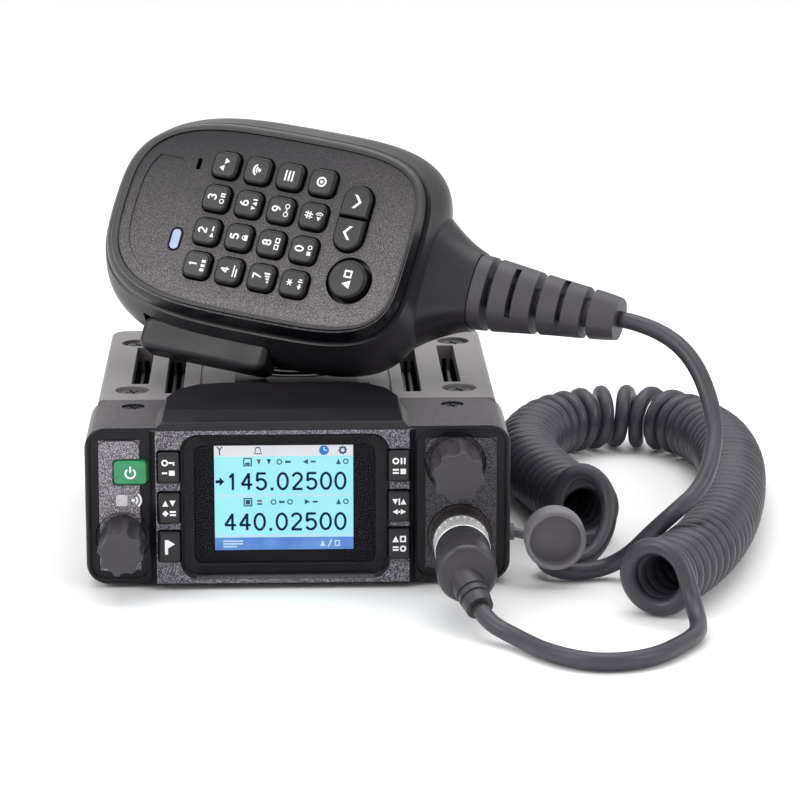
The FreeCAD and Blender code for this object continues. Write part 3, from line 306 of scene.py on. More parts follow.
seg = np.linalg.norm(np.diff(axis_line, axis=0), axis=1)
run = np.concatenate([[0], np.cumsum(seg)])
length = run[-1]
ss = np.linspace(0, length, 1600)
cx = np.stack([np.interp(ss, run, axis_line[:, k]) for k in range(3)], 1)
tg = np.gradient(cx, ss, axis=0)
kern = np.hanning(61)
kern /= kern.sum()
tg = np.stack([np.convolve(np.pad(tg[:, k], 30, mode="edge"), kern, "valid") for k in range(3)], 1)
tg /= np.linalg.norm(tg, axis=1)[:, None]
bend = np.linalg.norm(np.gradient(tg, ss, axis=0), axis=1)
pitch_s = np.clip(0.00404 / (1 - 0.0064 * bend), 0.00408, 0.0060)
# the turns stand a little apart where the coil has been pulled, at its back
pitch_s = pitch_s * (1 + 0.10 * np.exp(-((ss / length - 0.40) / 0.10) ** 2))
turns = np.concatenate([[0], np.cumsum(np.diff(ss) / (0.5 * (pitch_s[1:] + pitch_s[:-1])))])
START, END = -70.0, 180.0
whole = round(turns[-1] - (END - START) / 360.0)
total = whole + (END - START) / 360.0
phase = math.radians(START) + 2 * math.pi * turns * total / turns[-1]
PER = 14
helix = []
wob = np.random.RandomState(7)
jit = wob.normal(0, 1, 400)
for k in range(int(total * PER) + 1):
    ph = math.radians(START) + 2 * math.pi * k / PER
    s = float(np.interp(ph, phase, ss))
    c = np.array([np.interp(s, ss, cx[:, j]) for j in range(3)])
    t = np.array([np.interp(s, ss, tg[:, j]) for j in range(3)])
    side = np.cross(t, (0, 0, 1.0))
    side /= np.linalg.norm(side)
    r = TURN_R * 1.013
    wide = 0.0006 * math.exp(-s / 0.005) + 0.0013 * math.exp(-(length - s) / 0.0035)
    r += wide
    c = c + np.array((0, 0, wide))
    turn_no = (ph - math.radians(START)) / (2 * math.pi)
    j0 = int(turn_no)
    w_ = turn_no - j0
    wobble = (jit[j0] * (1 - w_) + jit[j0 + 1] * w_) * 0.00007
    p = c + r * (math.cos(ph) * side + math.sin(ph) * np.array((0, 0, 1.0))) + t * wobble
    p[2] = max(p[2], 0.0020)
    helix.append(tuple(p))
cord_points = MIC_LEAD + WIDE_TURN + helix + PLUG_LEAD
cord_line = spaced(route_line(cord_points, 12), 0.00105)

rubber_cord = surface("cord_rubber", (0.042, 0.038, 0.051), 0.40, spec=0.5, vary=0.15, vary_scale=160, grain=0.00003,
                      grain_scale=1800, rough_var=0.07)
cord = tube_mesh("curly_cord", cord_line, WIRE / 2, rubber_cord)
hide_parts("coiled_cord", "mic_lead", "plug_lead")
wire_length = float(np.linalg.norm(np.diff(cord_line, axis=0), axis=1).sum())
print("wire", round(wire_length, 3), "turns", round(total, 2), "pitch", round(1000 * length / total, 2))
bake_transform(cord)

# ------------------------------------------------------------ part materials
# painted shadow: x and y bounds of the lid area painted dark under the hand microphone
HANDSET_SHADOW_BOX = (-0.0150, 0.0147, 0.0120, 0.0780)
lid_metal = surface("satin_lid", (0.243, 0.224, 0.236), 0.40, metal=0.30, spec=0.5, grain=0.00003, grain_scale=3200,
                    glint_speck=(0.62, (0.36, 0.33, 0.355)), edge=0.0003)
cast_metal = surface("cast_dark", (0.080, 0.073, 0.080), 0.45, metal=0.3, grain=0.00005, grain_scale=2600, edge=0.0003)
# painted shadow: the middle of the lid, round the grille under the hand microphone, is painted near-black and made less
# metallic in place of the shadow it casts; the pale tabs beside it keep the lid's own colour
lnt = lid_metal.node_tree
lpb = next(n for n in lnt.nodes if n.type == "BSDF_PRINCIPLED")
lsep = lnt.nodes.new("ShaderNodeSeparateXYZ")
ltc = lnt.nodes.new("ShaderNodeTexCoord")
lnt.links.new(ltc.outputs["Object"], lsep.inputs[0])
lx = lsep.outputs[0]


def lmask(lo, hi, out):
    a = maprange(lnt, out, lo - 0.0001, lo + 0.0001, 0.0, 1.0)
    c = maprange(lnt, out, hi - 0.0001, hi + 0.0001, 1.0, 0.0)
    k = lnt.nodes.new("ShaderNodeMath")
    k.operation = "MULTIPLY"
    lnt.links.new(a.outputs["Result"], k.inputs[0])
    lnt.links.new(c.outputs["Result"], k.inputs[1])
    return k.outputs[0]


was = lpb.inputs["Base Color"].links[0].from_socket
dark = lmask(HANDSET_SHADOW_BOX[0], HANDSET_SHADOW_BOX[1], lx)
along = lmask(HANDSET_SHADOW_BOX[2], HANDSET_SHADOW_BOX[3], lsep.outputs[1])
handset_shadow_mask = lnt.nodes.new("ShaderNodeMath")
handset_shadow_mask.operation = "MULTIPLY"
lnt.links.new(dark, handset_shadow_mask.inputs[0])
lnt.links.new(along, handset_shadow_mask.inputs[1])
lnt.links.new(mixcol(lnt, handset_shadow_mask.outputs[0], was, (0.004, 0.0036, 0.0045)), lpb.inputs["Base Color"])
inv = maprange(lnt, handset_shadow_mask.outputs[0], 0.0, 1.0, 0.30, 1.0)
lnt.links.new(inv.outputs["Result"], lpb.inputs["Metallic"])

knob_mat = surface("knob_plastic", (0.040, 0.036, 0.042), 0.40, grain=0.00003, grain_scale=3000, glint_speck=(0.62, (0.11, 0.10, 0.115)),
                   edge=0.0003)
key_mat = surface("side_key_plastic", (0.012, 0.011, 0.013), 0.34, spec=0.4, grain=0.00002, grain_scale=2500, edge=0.0003)
mic_key_mat = surface("mic_key_rubber", (0.007, 0.0065, 0.0075), 0.30, spec=0.36, grain=0.000012, grain_scale=2200, rough_var=0.05)
glass_black = surface("screen_surround", (0.004, 0.004, 0.007), 0.55, spec=0.12)
board_green = surface("solder_mask", (0.015, 0.11, 0.045), 0.35, vary=0.3, vary_scale=300)
steel = surface("blackened_steel", (0.06, 0.058, 0.06), 0.33, metal=0.8, grain=0.00002, grain_scale=2600)
plated = surface("bright_nickel", (0.96, 0.955, 0.95), 0.28, metal=0.35, vary=0.03, vary_scale=260, grain=0.000006, grain_scale=2600)
boot_mat = surface("plug_boot_plastic", (0.034, 0.031, 0.036), 0.38, grain=0.00003, grain_scale=2600, edge=0.0003)
cap_rubber = surface("cap_rubber", (0.160, 0.150, 0.166), 0.52, grain=0.00002, grain_scale=2400, sheen=0.15)
relief_rubber = surface("relief_rubber", (0.050, 0.046, 0.053), 0.45, grain=0.00003, grain_scale=2200)
foot_rubber = surface("foot_rubber", (0.02, 0.02, 0.02), 0.7, grain=0.00006, grain_scale=1500)
# painted light: the green key also glows faintly, though no lamp lights it
green_key = surface("power_green", (0.030, 0.235, 0.100), 0.32, vary=0.16, vary_scale=260, spec=0.5, emission=(0.01, 0.30, 0.10),
                    strength=0.15, grain=0.000006, grain_scale=1200)
lamp_grey = surface("lamp_grey", (0.50, 0.48, 0.50), 0.35, vary=0.15, vary_scale=800, emission=(0.5, 0.48, 0.5), strength=0.12)
lamp_blue = surface("lamp_pale_blue", (0.30, 0.36, 0.60), 0.30, vary=0.2, vary_scale=500, emission=(0.30, 0.38, 0.75), strength=0.06)
fan_mat = surface("fan_plastic", (0.10, 0.095, 0.098), 0.4, grain=0.00002)
bare_alu = surface("bare_aluminium", (0.55, 0.52, 0.52), 0.35, metal=0.8, grain=0.00003, grain_scale=1200)
# painted light: the white print also glows faintly, though nothing lights it from behind
white_print_glowing = surface("white_print_glowing", (0.82, 0.82, 0.84), 0.55, vary=0.04, emission=(0.8, 0.8, 0.83), strength=0.10)
gold = surface("contact_gold", (0.75, 0.55, 0.25), 0.25, metal=1.0, vary=0.05)


def housing_material():
    """Grained raised panels, smooth brow and bands, and a finer top, chosen by where the surface is and faces."""
    m, nt, b, tc = new_mat("housing_plastic")
    geo = nt.nodes.new("ShaderNodeNewGeometry")
    pos = nt.nodes.new("ShaderNodeSeparateXYZ")
    nt.links.new(tc.outputs["Object"], pos.inputs[0])
    nrm = nt.nodes.new("ShaderNodeSeparateXYZ")
    nt.links.new(tc.outputs["Normal"], nrm.inputs[0])

    def math_(op, a, c=None):
        n = nt.nodes.new("ShaderNodeMath")
        n.operation = op
        for s, v in ((n.inputs[0], a), (n.inputs[1], c)):
            if v is None:
                continue
            if hasattr(v, "is_output"):
                nt.links.new(v, s)
            else:
                s.default_value = v
        return n.outputs[0]
    X, Y, Z = pos.outputs[0], pos.outputs[1], pos.outputs[2]
    NY, NZ = nrm.outputs[1], nrm.outputs[2]
    facing = math_("LESS_THAN", NY, -0.9)
    flat_bezel = math_("MULTIPLY", facing, math_("LESS_THAN", Y, FRONT - 0.0015))
    # the raised pads of the two wings lie just behind the case's front edge
    in_z = math_("MULTIPLY", math_("GREATER_THAN", Z, 0.0039), math_("LESS_THAN", Z, 0.0349))
    left = math_("MULTIPLY", math_("GREATER_THAN", X, -0.0458), math_("LESS_THAN", X, -0.0364))
    right = math_("MULTIPLY", math_("GREATER_THAN", X, 0.0293), math_("LESS_THAN", X, 0.0458))
    wing = math_("MULTIPLY", math_("MULTIPLY", facing, in_z), math_("ADD", left, right))
    grained = math_("MINIMUM", math_("ADD", flat_bezel, wing), 1.0)
    top = math_("MULTIPLY", math_("GREATER_THAN", NZ, 0.8), math_("LESS_THAN", Z, 0.0385))
    side_ = math_("MULTIPLY", math_("LESS_THAN", math_("ABSOLUTE", NZ), 0.7), math_("GREATER_THAN", math_("ABSOLUTE", X), 0.0485))
    fine = noise(nt, tc, 4600, 1.5, 0.6)
    fine2 = noise(nt, tc, 5600, 1.0, 0.5)
    broad = noise(nt, tc, 110, 3.0)
    c_smooth = ramp(nt, broad.outputs["Fac"], [(0.3, (0.0070, 0.0062, 0.0088)), (0.7, (0.011, 0.0098, 0.0135))]).outputs["Color"]
    # the grained colours run from dark grain to pale peaks; the pale peaks are painted glints of light on the grain
    c_bezel_grain_glints = ramp(nt, fine.outputs["Fac"], [(0.38, (0.022, 0.020, 0.025)), (0.52, (0.115, 0.107, 0.126)),
                                             (0.66, (0.47, 0.44, 0.52))]).outputs["Color"]
    c_pad_grain_glints = ramp(nt, fine.outputs["Fac"], [(0.38, (0.03, 0.028, 0.032)), (0.52, (0.20, 0.186, 0.214)),
                                           (0.66, (0.66, 0.61, 0.70))]).outputs["Color"]
    c_top_grain_glints = ramp(nt, fine2.outputs["Fac"], [(0.35, (0.040, 0.036, 0.041)), (0.58, (0.085, 0.077, 0.085)),
                                            (0.72, (0.24, 0.22, 0.24))]).outputs["Color"]
    col = mixcol(nt, flat_bezel, c_smooth, c_bezel_grain_glints)
    # the right-hand pad is painted darker, most of the way to the smooth colour
    c_pad_grain_glints = mixcol(nt, math_("MULTIPLY", math_("GREATER_THAN", X, 0.0), 0.72), c_pad_grain_glints, c_smooth)
    col = mixcol(nt, wing, col, c_pad_grain_glints)
    col = mixcol(nt, math_("MINIMUM", math_("ADD", top, math_("MULTIPLY", side_, 0.4)), 1.0), col, c_top_grain_glints)
    nt.links.new(col, b.inputs["Base Color"])
    rough = nt.nodes.new("ShaderNodeMix")
    nt.links.new(math_("MAXIMUM", grained, top), rough.inputs[0])
    rough.inputs[2].default_value = 0.30
    rough.inputs[3].default_value = 0.46
    nt.links.new(rough.outputs[0], b.inputs["Roughness"])
    b.inputs["Specular IOR Level"].default_value = 0.24
    bev = nt.nodes.new("ShaderNodeBevel")
    bev.samples = 4
    bev.inputs["Radius"].default_value = 0.0004
    bp = nt.nodes.new("ShaderNodeBump")
    bp.inputs["Distance"].default_value = 0.00012
    nt.links.new(math_("ADD", math_("MULTIPLY", grained, 0.9), 0.08), bp.inputs["Strength"])
    nt.links.new(fine.outputs["Fac"], bp.inputs["Height"])
    nt.links.new(bev.outputs["Normal"], bp.inputs["Normal"])
    nt.links.new(bp.outputs["Normal"], b.inputs["Normal"])
    return m


# the hand microphone's axes in the row frame: x its right, y away from its cable, z out of its face
MIC_O = Vector((-0.00848, 0.038, 0.0759))
MX = Vector((0.278994, 0.388991, 0.877980)).normalized()
MY = Vector((-0.903439, 0.416242, 0.102666)).normalized()
MZ = Vector((-0.325516, -0.821844, 0.467559)).normalized()


def mic_shell_material():
    """The front shell: a smooth glossy rim and a grained, recessed panel, told apart by depth below the rim."""
    m, nt, b, tc = new_mat("mic_front_plastic")
    sub = nt.nodes.new("ShaderNodeVectorMath")
    sub.operation = "SUBTRACT"
    sub.inputs[1].default_value = MIC_O
    nt.links.new(tc.outputs["Object"], sub.inputs[0])
    comp = []
    for ax_ in (MX, MY, MZ):
        d = nt.nodes.new("ShaderNodeVectorMath")
        d.operation = "DOT_PRODUCT"
        d.inputs[1].default_value = ax_
        nt.links.new(sub.outputs[0], d.inputs[0])
        comp.append(d.outputs["Value"])
    depth = maprange(nt, comp[2], -0.00040, -0.00036, 1.0, 0.0)
    deep = maprange(nt, comp[2], -0.00090, -0.00086, 0.0, 1.0)
    mask = nt.nodes.new("ShaderNodeMath")
    mask.operation = "MULTIPLY"
    nt.links.new(depth.outputs["Result"], mask.inputs[0])
    nt.links.new(deep.outputs["Result"], mask.inputs[1])
    # painted light: the panel's grain colour is strongest toward the microphone's left side and its cable end and fades
    # to the smooth dark colour away from them, standing in for the light falling across the panel
    across = maprange(nt, comp[1], -0.036, 0.034, 0.14, -0.12)
    down = maprange(nt, comp[0], -0.022, 0.020, 0.88, 0.10)
    painted_light_fade = nt.nodes.new("ShaderNodeMath")
    painted_light_fade.operation = "ADD"
    painted_light_fade.use_clamp = True
    nt.links.new(across.outputs["Result"], painted_light_fade.inputs[0])
    nt.links.new(down.outputs["Result"], painted_light_fade.inputs[1])
    fine = noise(nt, tc, 4400, 1.5, 0.6)
    c_smooth = (0.0058, 0.0048, 0.0075)
    b.inputs["Specular IOR Level"].default_value = 0.32
    # the grain colour runs to pale peaks, painted glints of light on the grain
    grain_glint_c = ramp(nt, fine.outputs["Fac"], [(0.36, (0.055, 0.050, 0.054)), (0.54, (0.165, 0.150, 0.158)),
                                             (0.70, (0.42, 0.385, 0.40))]).outputs["Color"]
    k = nt.nodes.new("ShaderNodeMath")
    k.operation = "MULTIPLY"
    nt.links.new(mask.outputs[0], k.inputs[0])
    nt.links.new(painted_light_fade.outputs[0], k.inputs[1])
    nt.links.new(mixcol(nt, k.outputs[0], c_smooth, grain_glint_c), b.inputs["Base Color"])
    rough = nt.nodes.new("ShaderNodeMix")
    nt.links.new(mask.outputs[0], rough.inputs[0])
    rough.inputs[2].default_value = 0.26
    rough.inputs[3].default_value = 0.48
    nt.links.new(rough.outputs[0], b.inputs["Roughness"])
    bp = nt.nodes.new("ShaderNodeBump")
    bp.inputs["Distance"].default_value = 0.00011
    nt.links.new(k.outputs[0], bp.inputs["Strength"])
    nt.links.new(fine.outputs["Fac"], bp.inputs["Height"])
    nt.links.new(bp.outputs["Normal"], b.inputs["Normal"])
    return m


put(housing_material(), "front_housing")
put(mic_shell_material(), "mic_front_shell")
put(surface("mic_back_plastic", (0.020, 0.0182, 0.0205), 0.33, spec=0.38, grain=0.00003, grain_scale=2500), "mic_back_shell")
put(lid_metal, "top_cover")
put(cast_metal, "chassis", "bottom_cover")
put(knob_mat, "volume_knob", "channel_knob")
put(key_mat, *["side_key_left_%d" % i for i in (1, 2, 3)], *["side_key_right_%d" % i for i in (1, 2, 3)])
MIC_KEYS = [n for n in nodes if n.startswith("mic_key_")]
put(mic_key_mat, *MIC_KEYS)
put(surface("ptt_plastic", (0.020, 0.0182, 0.0210), 0.40, spec=0.40, grain=0.00004, grain_scale=2500), "ptt_bar")
put(green_key, "power_button")
put(lamp_grey, "tx_lamp")
put(lamp_blue, "mic_lamp")
put(plated, "plug_coupling_ring")
put(surface("socket_nickel", (0.70, 0.68, 0.65), 0.24, metal=1.0, vary=0.05, vary_scale=260, grain=0.000006), "antenna_socket")
put(surface("socket_dark", (0.060, 0.052, 0.052), 0.25, metal=0.6, vary=0.2, vary_scale=300), "mic_socket")
put(boot_mat, "mic_plug")
put(cap_rubber, "dust_cap")
put(foot_rubber, "rubber_feet")
put(relief_rubber, "mic_strain_relief")
put(steel, "case_screws", "mic_hardware")
put(board_green, "control_board", "main_board")
put(surface("black_mask", (0.006, 0.007, 0.0065), 0.4, vary=0.3, vary_scale=300), "mic_board")
put(glass_black, "display_panel")
put(surface("pot_body", (0.45, 0.45, 0.46), 0.35, metal=0.9), "rotary_controls")
put(surface("speaker_can", (0.30, 0.30, 0.31), 0.35, metal=0.9), "speaker")
put(fan_mat, "fan_frame")
put(surface("fan_blades", (0.16, 0.15, 0.155), 0.4), "fan_rotor")
put(surface("inlet_plastic", (0.035, 0.035, 0.036), 0.45, grain=0.00003), "dc_inlet", "speaker_jack")

# the window: a thin clear pane
glass, gnt, gb, gtc = new_mat("window_glass")
gb.inputs["Alpha"].default_value = 0.07
gb.inputs["Specular IOR Level"].default_value = 0.3
gn = noise(gnt, gtc, 60, 2.0)
gb.inputs["Roughness"].default_value = 0.12
gc = ramp(gnt, gn.outputs["Fac"], [(0.3, (0.010, 0.010, 0.013)), (0.7, (0.014, 0.014, 0.018))])
gnt.links.new(gc.outputs["Color"], gb.inputs["Base Color"])
put(glass, "display_window")


# --------------------------------------------------------------- print and icons
def circle(r, cx_=0.0, cy_=0.0, n=28, a0=0.0, a1=360.0):
    k = n if abs(a1 - a0) >= 360 else n + 1
    return [(cx_ + r * math.cos(math.radians(a0 + (a1 - a0) * i / n)), cy_ + r * math.sin(math.radians(a0 + (a1 - a0) * i / n)))
            for i in range(k)]


def bar(w, h, cx_=0.0, cy_=0.0):
    return [[(cx_ - w / 2, cy_ - h / 2), (cx_ + w / 2, cy_ - h / 2), (cx_ + w / 2, cy_ + h / 2), (cx_ - w / 2, cy_ + h / 2)]]


def rbar(w, h, r, cx_=0.0, cy_=0.0):
    p = []
    for qx, qy, a in ((1, 1, 0), (-1, 1, 90), (-1, -1, 180), (1, -1, 270)):
        p += circle(r, cx_ + qx * (w / 2 - r), cy_ + qy * (h / 2 - r), 6, a, a + 90)
    return [p]


def ring(r, t, cx_=0.0, cy_=0.0):
    return [circle(r, cx_, cy_), circle(r - t, cx_, cy_)[::-1]]


def arc(r, t, a0, a1, cx_=0.0, cy_=0.0, n=24):
    return [circle(r, cx_, cy_, n, a0, a1) + circle(r - t, cx_, cy_, n, a1, a0)]


def frame_box(w, h, t, cx_=0.0, cy_=0.0):
    return [bar(w, h, cx_, cy_)[0], bar(w - 2 * t, h - 2 * t, cx_, cy_)[0][::-1]]


def poly(*p):
    return [list(p)]


def triangle(w, h, cx_=0.0, cy_=0.0, turn=0.0):
    c, s = math.cos(math.radians(turn)), math.sin(math.radians(turn))
    return [[(cx_ + x * c - y * s, cy_ + x * s + y * c) for x, y in ((-w / 2, -h / 2), (w / 2, -h / 2), (0, h / 2))]]


def chevron(w, h, t, cx_=0.0, cy_=0.0, turn=0.0):
    c, s = math.cos(math.radians(turn)), math.sin(math.radians(turn))
    p = [(-w / 2, -h / 2), (0, h / 2 - t * 0.4), (w / 2, -h / 2), (w / 2, -h / 2 + t), (0, h / 2 + t * 0.6), (-w / 2, -h / 2 + t)]
    return [[(cx_ + x * c - y * s, cy_ + x * s + y * c) for x, y in p]]


def stroke(points, t):
    """A line of points as one flat band of width t."""
    q = np.array(points, float)
    d = np.gradient(q, axis=0)
    d /= np.linalg.norm(d, axis=1)[:, None]
    n = np.stack([-d[:, 1], d[:, 0]], 1) * t / 2
    return [[tuple(v) for v in q + n] + [tuple(v) for v in (q - n)[::-1]]]


def sweep(cx_, cy_, rx, ry, a0, a1, n=18):
    return [(cx_ + rx * math.cos(math.radians(a0 + (a1 - a0) * i / n)), cy_ + ry * math.sin(math.radians(a0 + (a1 - a0) * i / n)))
            for i in range(n + 1)]


def oval_ring(cx_, cy_, rx, ry, t):
    return [sweep(cx_, cy_, rx, ry, 0, 348, 28), sweep(cx_, cy_, rx - t, ry - t, 348, 0, 28)]


def digit(ch, w, h, t, cx_=0.0, cy_=0.0):
    """One figure, w by h mm about a centre, drawn with strokes t wide."""
    a, b_ = w / 2 - t / 2, h / 2 - t / 2

    def st(*pts):
        return stroke([(cx_ + x * a, cy_ + y * b_) for x, y in pts], t)

    def sw(x, y, rx, ry, a0, a1):
        return stroke(sweep(cx_ + x * a, cy_ + y * b_, rx * a, ry * b_, a0, a1), t)

    def el(x, y, rx, ry):
        return oval_ring(cx_ + x * a, cy_ + y * b_, rx * a + t / 2, ry * b_ + t / 2, t)
    return {
        "0": lambda: [el(0, 0, 1, 1)],
        "1": lambda: [st((0.1, -1.06), (0.1, 1.06)), st((0.12, 0.98), (-0.55, 0.5))],
        "2": lambda: [stroke(sweep(cx_, cy_ + 0.44 * b_, a * 0.92, b_ * 0.56, 165, -28) + [(cx_ - a * 0.9, cy_ - b_ * 0.97)], t),
                      st((-1.0, -1), (1.1, -1))],
        "3": lambda: [sw(-0.05, 0.5, 0.9, 0.5, 155, -90), sw(-0.05, -0.48, 1.0, 0.52, 90, -158)],
        "4": lambda: [st((0.42, -1.06), (0.42, 1.06)), st((0.42, 0.98), (-1.0, -0.38)), st((-1.1, -0.4), (1.12, -0.4))],
        "5": lambda: [st((0.95, 1), (-0.85, 1)), st((-0.76, 1.0), (-0.86, 0.02)), sw(-0.05, -0.36, 1.0, 0.64, 146, -152)],
        "6": lambda: [el(0, -0.42, 0.96, 0.58), sw(0.55, -0.3, 1.5, 1.3, 178, 98)],
        "7": lambda: [st((-1.1, 1), (1.08, 1)), st((1.0, 1.0), (-0.3, -1.06))],
        "8": lambda: [el(0, 0.5, 0.84, 0.5), el(0, -0.48, 0.98, 0.52)],
        "9": lambda: [el(0, 0.42, 0.96, 0.58), sw(-0.55, 0.3, 1.5, 1.3, -2, -82)],
        "*": lambda: [st((0, -0.62), (0, 0.62)), st((-0.75, -0.34), (0.75, 0.34)), st((-0.75, 0.34), (0.75, -0.34))],
        "#": lambda: [st((-0.55, -0.85), (-0.2, 0.85)), st((0.2, -0.85), (0.55, 0.85)), st((-0.95, 0.3), (1.0, 0.3)),
                      st((-1.0, -0.3), (0.95, -0.3))],
        ".": lambda: [bar(t * 1.15, t * 1.15, cx_, cy_ - b_ + t * 0.08)],
    }[ch]()


def figures(string, x0, x1, h, cy_, t):
    """A row of figures from x0 to x1; a point takes half a place."""
    units = sum(0.5 if c == "." else 1.0 for c in string)
    step = (x1 - x0) / units
    out, x = [], x0
    for c in string:
        u = step * (0.5 if c == "." else 1.0)
        out += digit(c, step * 0.85, h, t, x + u / 2, cy_)
        x += u
    return out


def raised(name, shapes, origin, ex, ey, n, body, mat, low=-0.03, high=0.05):
    """Flat shapes in mm, drawn along ex and ey about origin, as one thin closed relief from low to high along n."""
    ex, ey, n, origin = Vector(ex), Vector(ey), Vector(n), Vector(origin)
    verts, faces = [], []

    def place(x, y, z):
        return origin + ex * (x * MM) + ey * (y * MM) + n * (z * MM)
    for s in shapes:
        loops = [[Vector((x, y, 0)) for x, y in lp] for lp in s]
        pts = [(v.x, v.y) for lp in loops for v in lp]
        tris = []
        for t in tessellate_polygon(loops):
            (x0, y0), (x1, y1), (x2, y2) = (pts[i] for i in t)
            tris.append(tuple(t) if (x1 - x0) * (y2 - y0) - (x2 - x0) * (y1 - y0) > 0 else (t[0], t[2], t[1]))
        edges = {(a, b_) for t in tris for a, b_ in ((t[0], t[1]), (t[1], t[2]), (t[2], t[0]))}
        rim = [e for e in edges if (e[1], e[0]) not in edges]
        k, c = len(verts), len(pts)
        verts += [place(x, y, high) for x, y in pts] + [place(x, y, low) for x, y in pts]
        faces += [tuple(k + i for i in t) for t in tris]
        faces += [tuple(k + c + i for i in reversed(t)) for t in tris]
        faces += [(k + a, k + c + a, k + c + b_, k + b_) for a, b_ in rim]
    return mesh_piece(name, verts, faces, mat, body)


def body_of(node):
    return next(b for b, ns in frame["record"]["behaviour"]["bodies"].items() if node in ns)


# ---- hand microphone keys: digits, with a small generic sign below each
PITCH = 8.58
KX = (-1.5 * PITCH, -0.5 * PITCH, 0.5 * PITCH, 1.5 * PITCH)
KY = (1.5 * PITCH, 0.5 * PITCH, -0.5 * PITCH, -1.5 * PITCH)
KTOP = 1.15
SIGNS = {
    "1": [bar(0.5, 0.75, -0.9, -1.75), bar(0.5, 0.75, -0.1, -1.75), bar(0.5, 0.75, 0.7, -1.75)],
    "2": [triangle(0.8, 0.8, -0.6, -1.75, -90), bar(0.9, 0.26, 0.55, -1.75)],
    "3": [ring(0.46, 0.16, -0.55, -1.75), bar(0.26, 0.85, 0.35, -1.75), bar(0.26, 0.85, 0.8, -1.75)],
    "4": [bar(2.1, 0.24, 0, -1.48), bar(1.5, 0.24, -0.3, -2.02)],
    "5": [bar(1.0, 0.62, 0, -1.98), arc(0.42, 0.14, 0, 180, 0, -1.66)],
    "6": [triangle(0.7, 0.8, -0.7, -1.75, 180), triangle(0.7, 0.8, 0.15, -1.75, 0), bar(0.24, 0.8, 0.85, -1.75)],
    "7": [bar(0.3, 0.35, -0.8, -1.97), bar(0.3, 0.6, -0.3, -1.85), bar(0.3, 0.85, 0.2, -1.72), bar(0.3, 1.1, 0.7, -1.6)],
    "8": [frame_box(0.95, 0.85, 0.18, -0.6, -1.75), frame_box(0.95, 0.85, 0.18, 0.6, -1.75)],
    "9": [ring(0.46, 0.15, -0.75, -1.75), bar(0.5, 0.2, 0, -1.75), ring(0.46, 0.15, 0.75, -1.75)],
    "star": [triangle(0.8, 0.7, -0.75, -1.75, 90), bar(0.3, 0.34, -0.2, -1.75), bar(0.2, 0.9, 0.35, -1.75), bar(0.2, 0.6, 0.75, -1.75)],
    "0": [bar(0.7, 0.7, -0.65, -1.75), ring(0.42, 0.15, 0.45, -1.75)],
    "hash": [triangle(0.8, 0.7, -0.5, -1.75, 90), arc(0.5, 0.15, -60, 60, -0.1, -1.75, 10), arc(0.85, 0.15, -60, 60, -0.1, -1.75, 10)],
}
def grown(shape, k, cy0, cy1):
    return [[(x * k, (y - cy0) * k + cy1) for x, y in loop] for loop in shape]


SIGNS = {n: [grown(q, 1.36, -1.75, -1.84) for q in v] for n, v in SIGNS.items()}
BIG = {"star": "*", "hash": "#"}
LAB = (("1", "2", "3", "a"), ("4", "5", "6", "b"), ("7", "8", "9", "c"), ("star", "0", "hash", "d"))
COLUMN = {
    "a": [triangle(1.5, 1.2, -1.0, 0.6, 0), triangle(1.5, 1.2, 0.8, -0.5, 180)],
    "b": [arc(1.7, 0.45, 30, 150, 0, -0.6, 16), [circle(0.45, 0.0, -0.6)], arc(0.95, 0.3, 30, 150, 0, -0.6, 14)],
    "c": [bar(2.6, 0.42, 0, 0.9), bar(2.6, 0.42, 0, 0.0), bar(2.6, 0.42, 0, -0.9)],
    "d": [ring(1.25, 0.42, 0, 0), [circle(0.42)]],
}
for j, y in enumerate(KY):
    for i, x in enumerate(KX):
        lab = LAB[j][i]
        o = MIC_O + MX * (x * MM) + MY * (y * MM) + MZ * (KTOP * MM)
        if lab in COLUMN:
            shapes = COLUMN[lab]
        else:
            s = BIG.get(lab, lab)
            shapes = (digit(s, 2.2, 2.7, 0.27, 0, 0.85) if s in "*#" else digit(s, 1.55, 2.4, 0.40, 0, 0.85)) + SIGNS[lab]
        raised("print_key_" + lab, shapes, o, MX, MY, MZ, "mic_key_" + lab, white_print_glowing)
# the dark pocket round the microphone's lamp
raised("lamp_pocket", [[rbar(6.2, 3.4, 1.65)[0], rbar(5.0, 2.2, 1.05)[0][::-1]]], MIC_O + MX * (-7.4 * MM) + MY * (20.7 * MM) + MZ * ((-0.45) * MM),
       MX, MY, MZ, "handset", glass_black, -0.02, 0.03)
UP = MIC_O + MX * (1.7 * MM) + MY * (-23.0 * MM) + MZ * (KTOP * MM)
DN = MIC_O + MX * (9.6 * MM) + MY * (-23.0 * MM) + MZ * (KTOP * MM)
raised("print_key_up", [chevron(3.4, 1.7, 0.75)], UP, MX, MY, MZ, "mic_key_up", white_print_glowing)
raised("print_key_down", [chevron(3.4, 1.7, 0.75, turn=180)], DN, MX, MY, MZ, "mic_key_down", white_print_glowing)
AB = MIC_O + MX * (-9.4 * MM) + MY * (-26.0 * MM) + MZ * (KTOP * MM)
raised("print_key_ab", [triangle(2.1, 2.1, -1.3, 0.0), frame_box(1.9, 2.0, 0.42, 1.2, 0.0)], AB, MX, MY, MZ,
       "mic_key_ab", white_print_glowing)

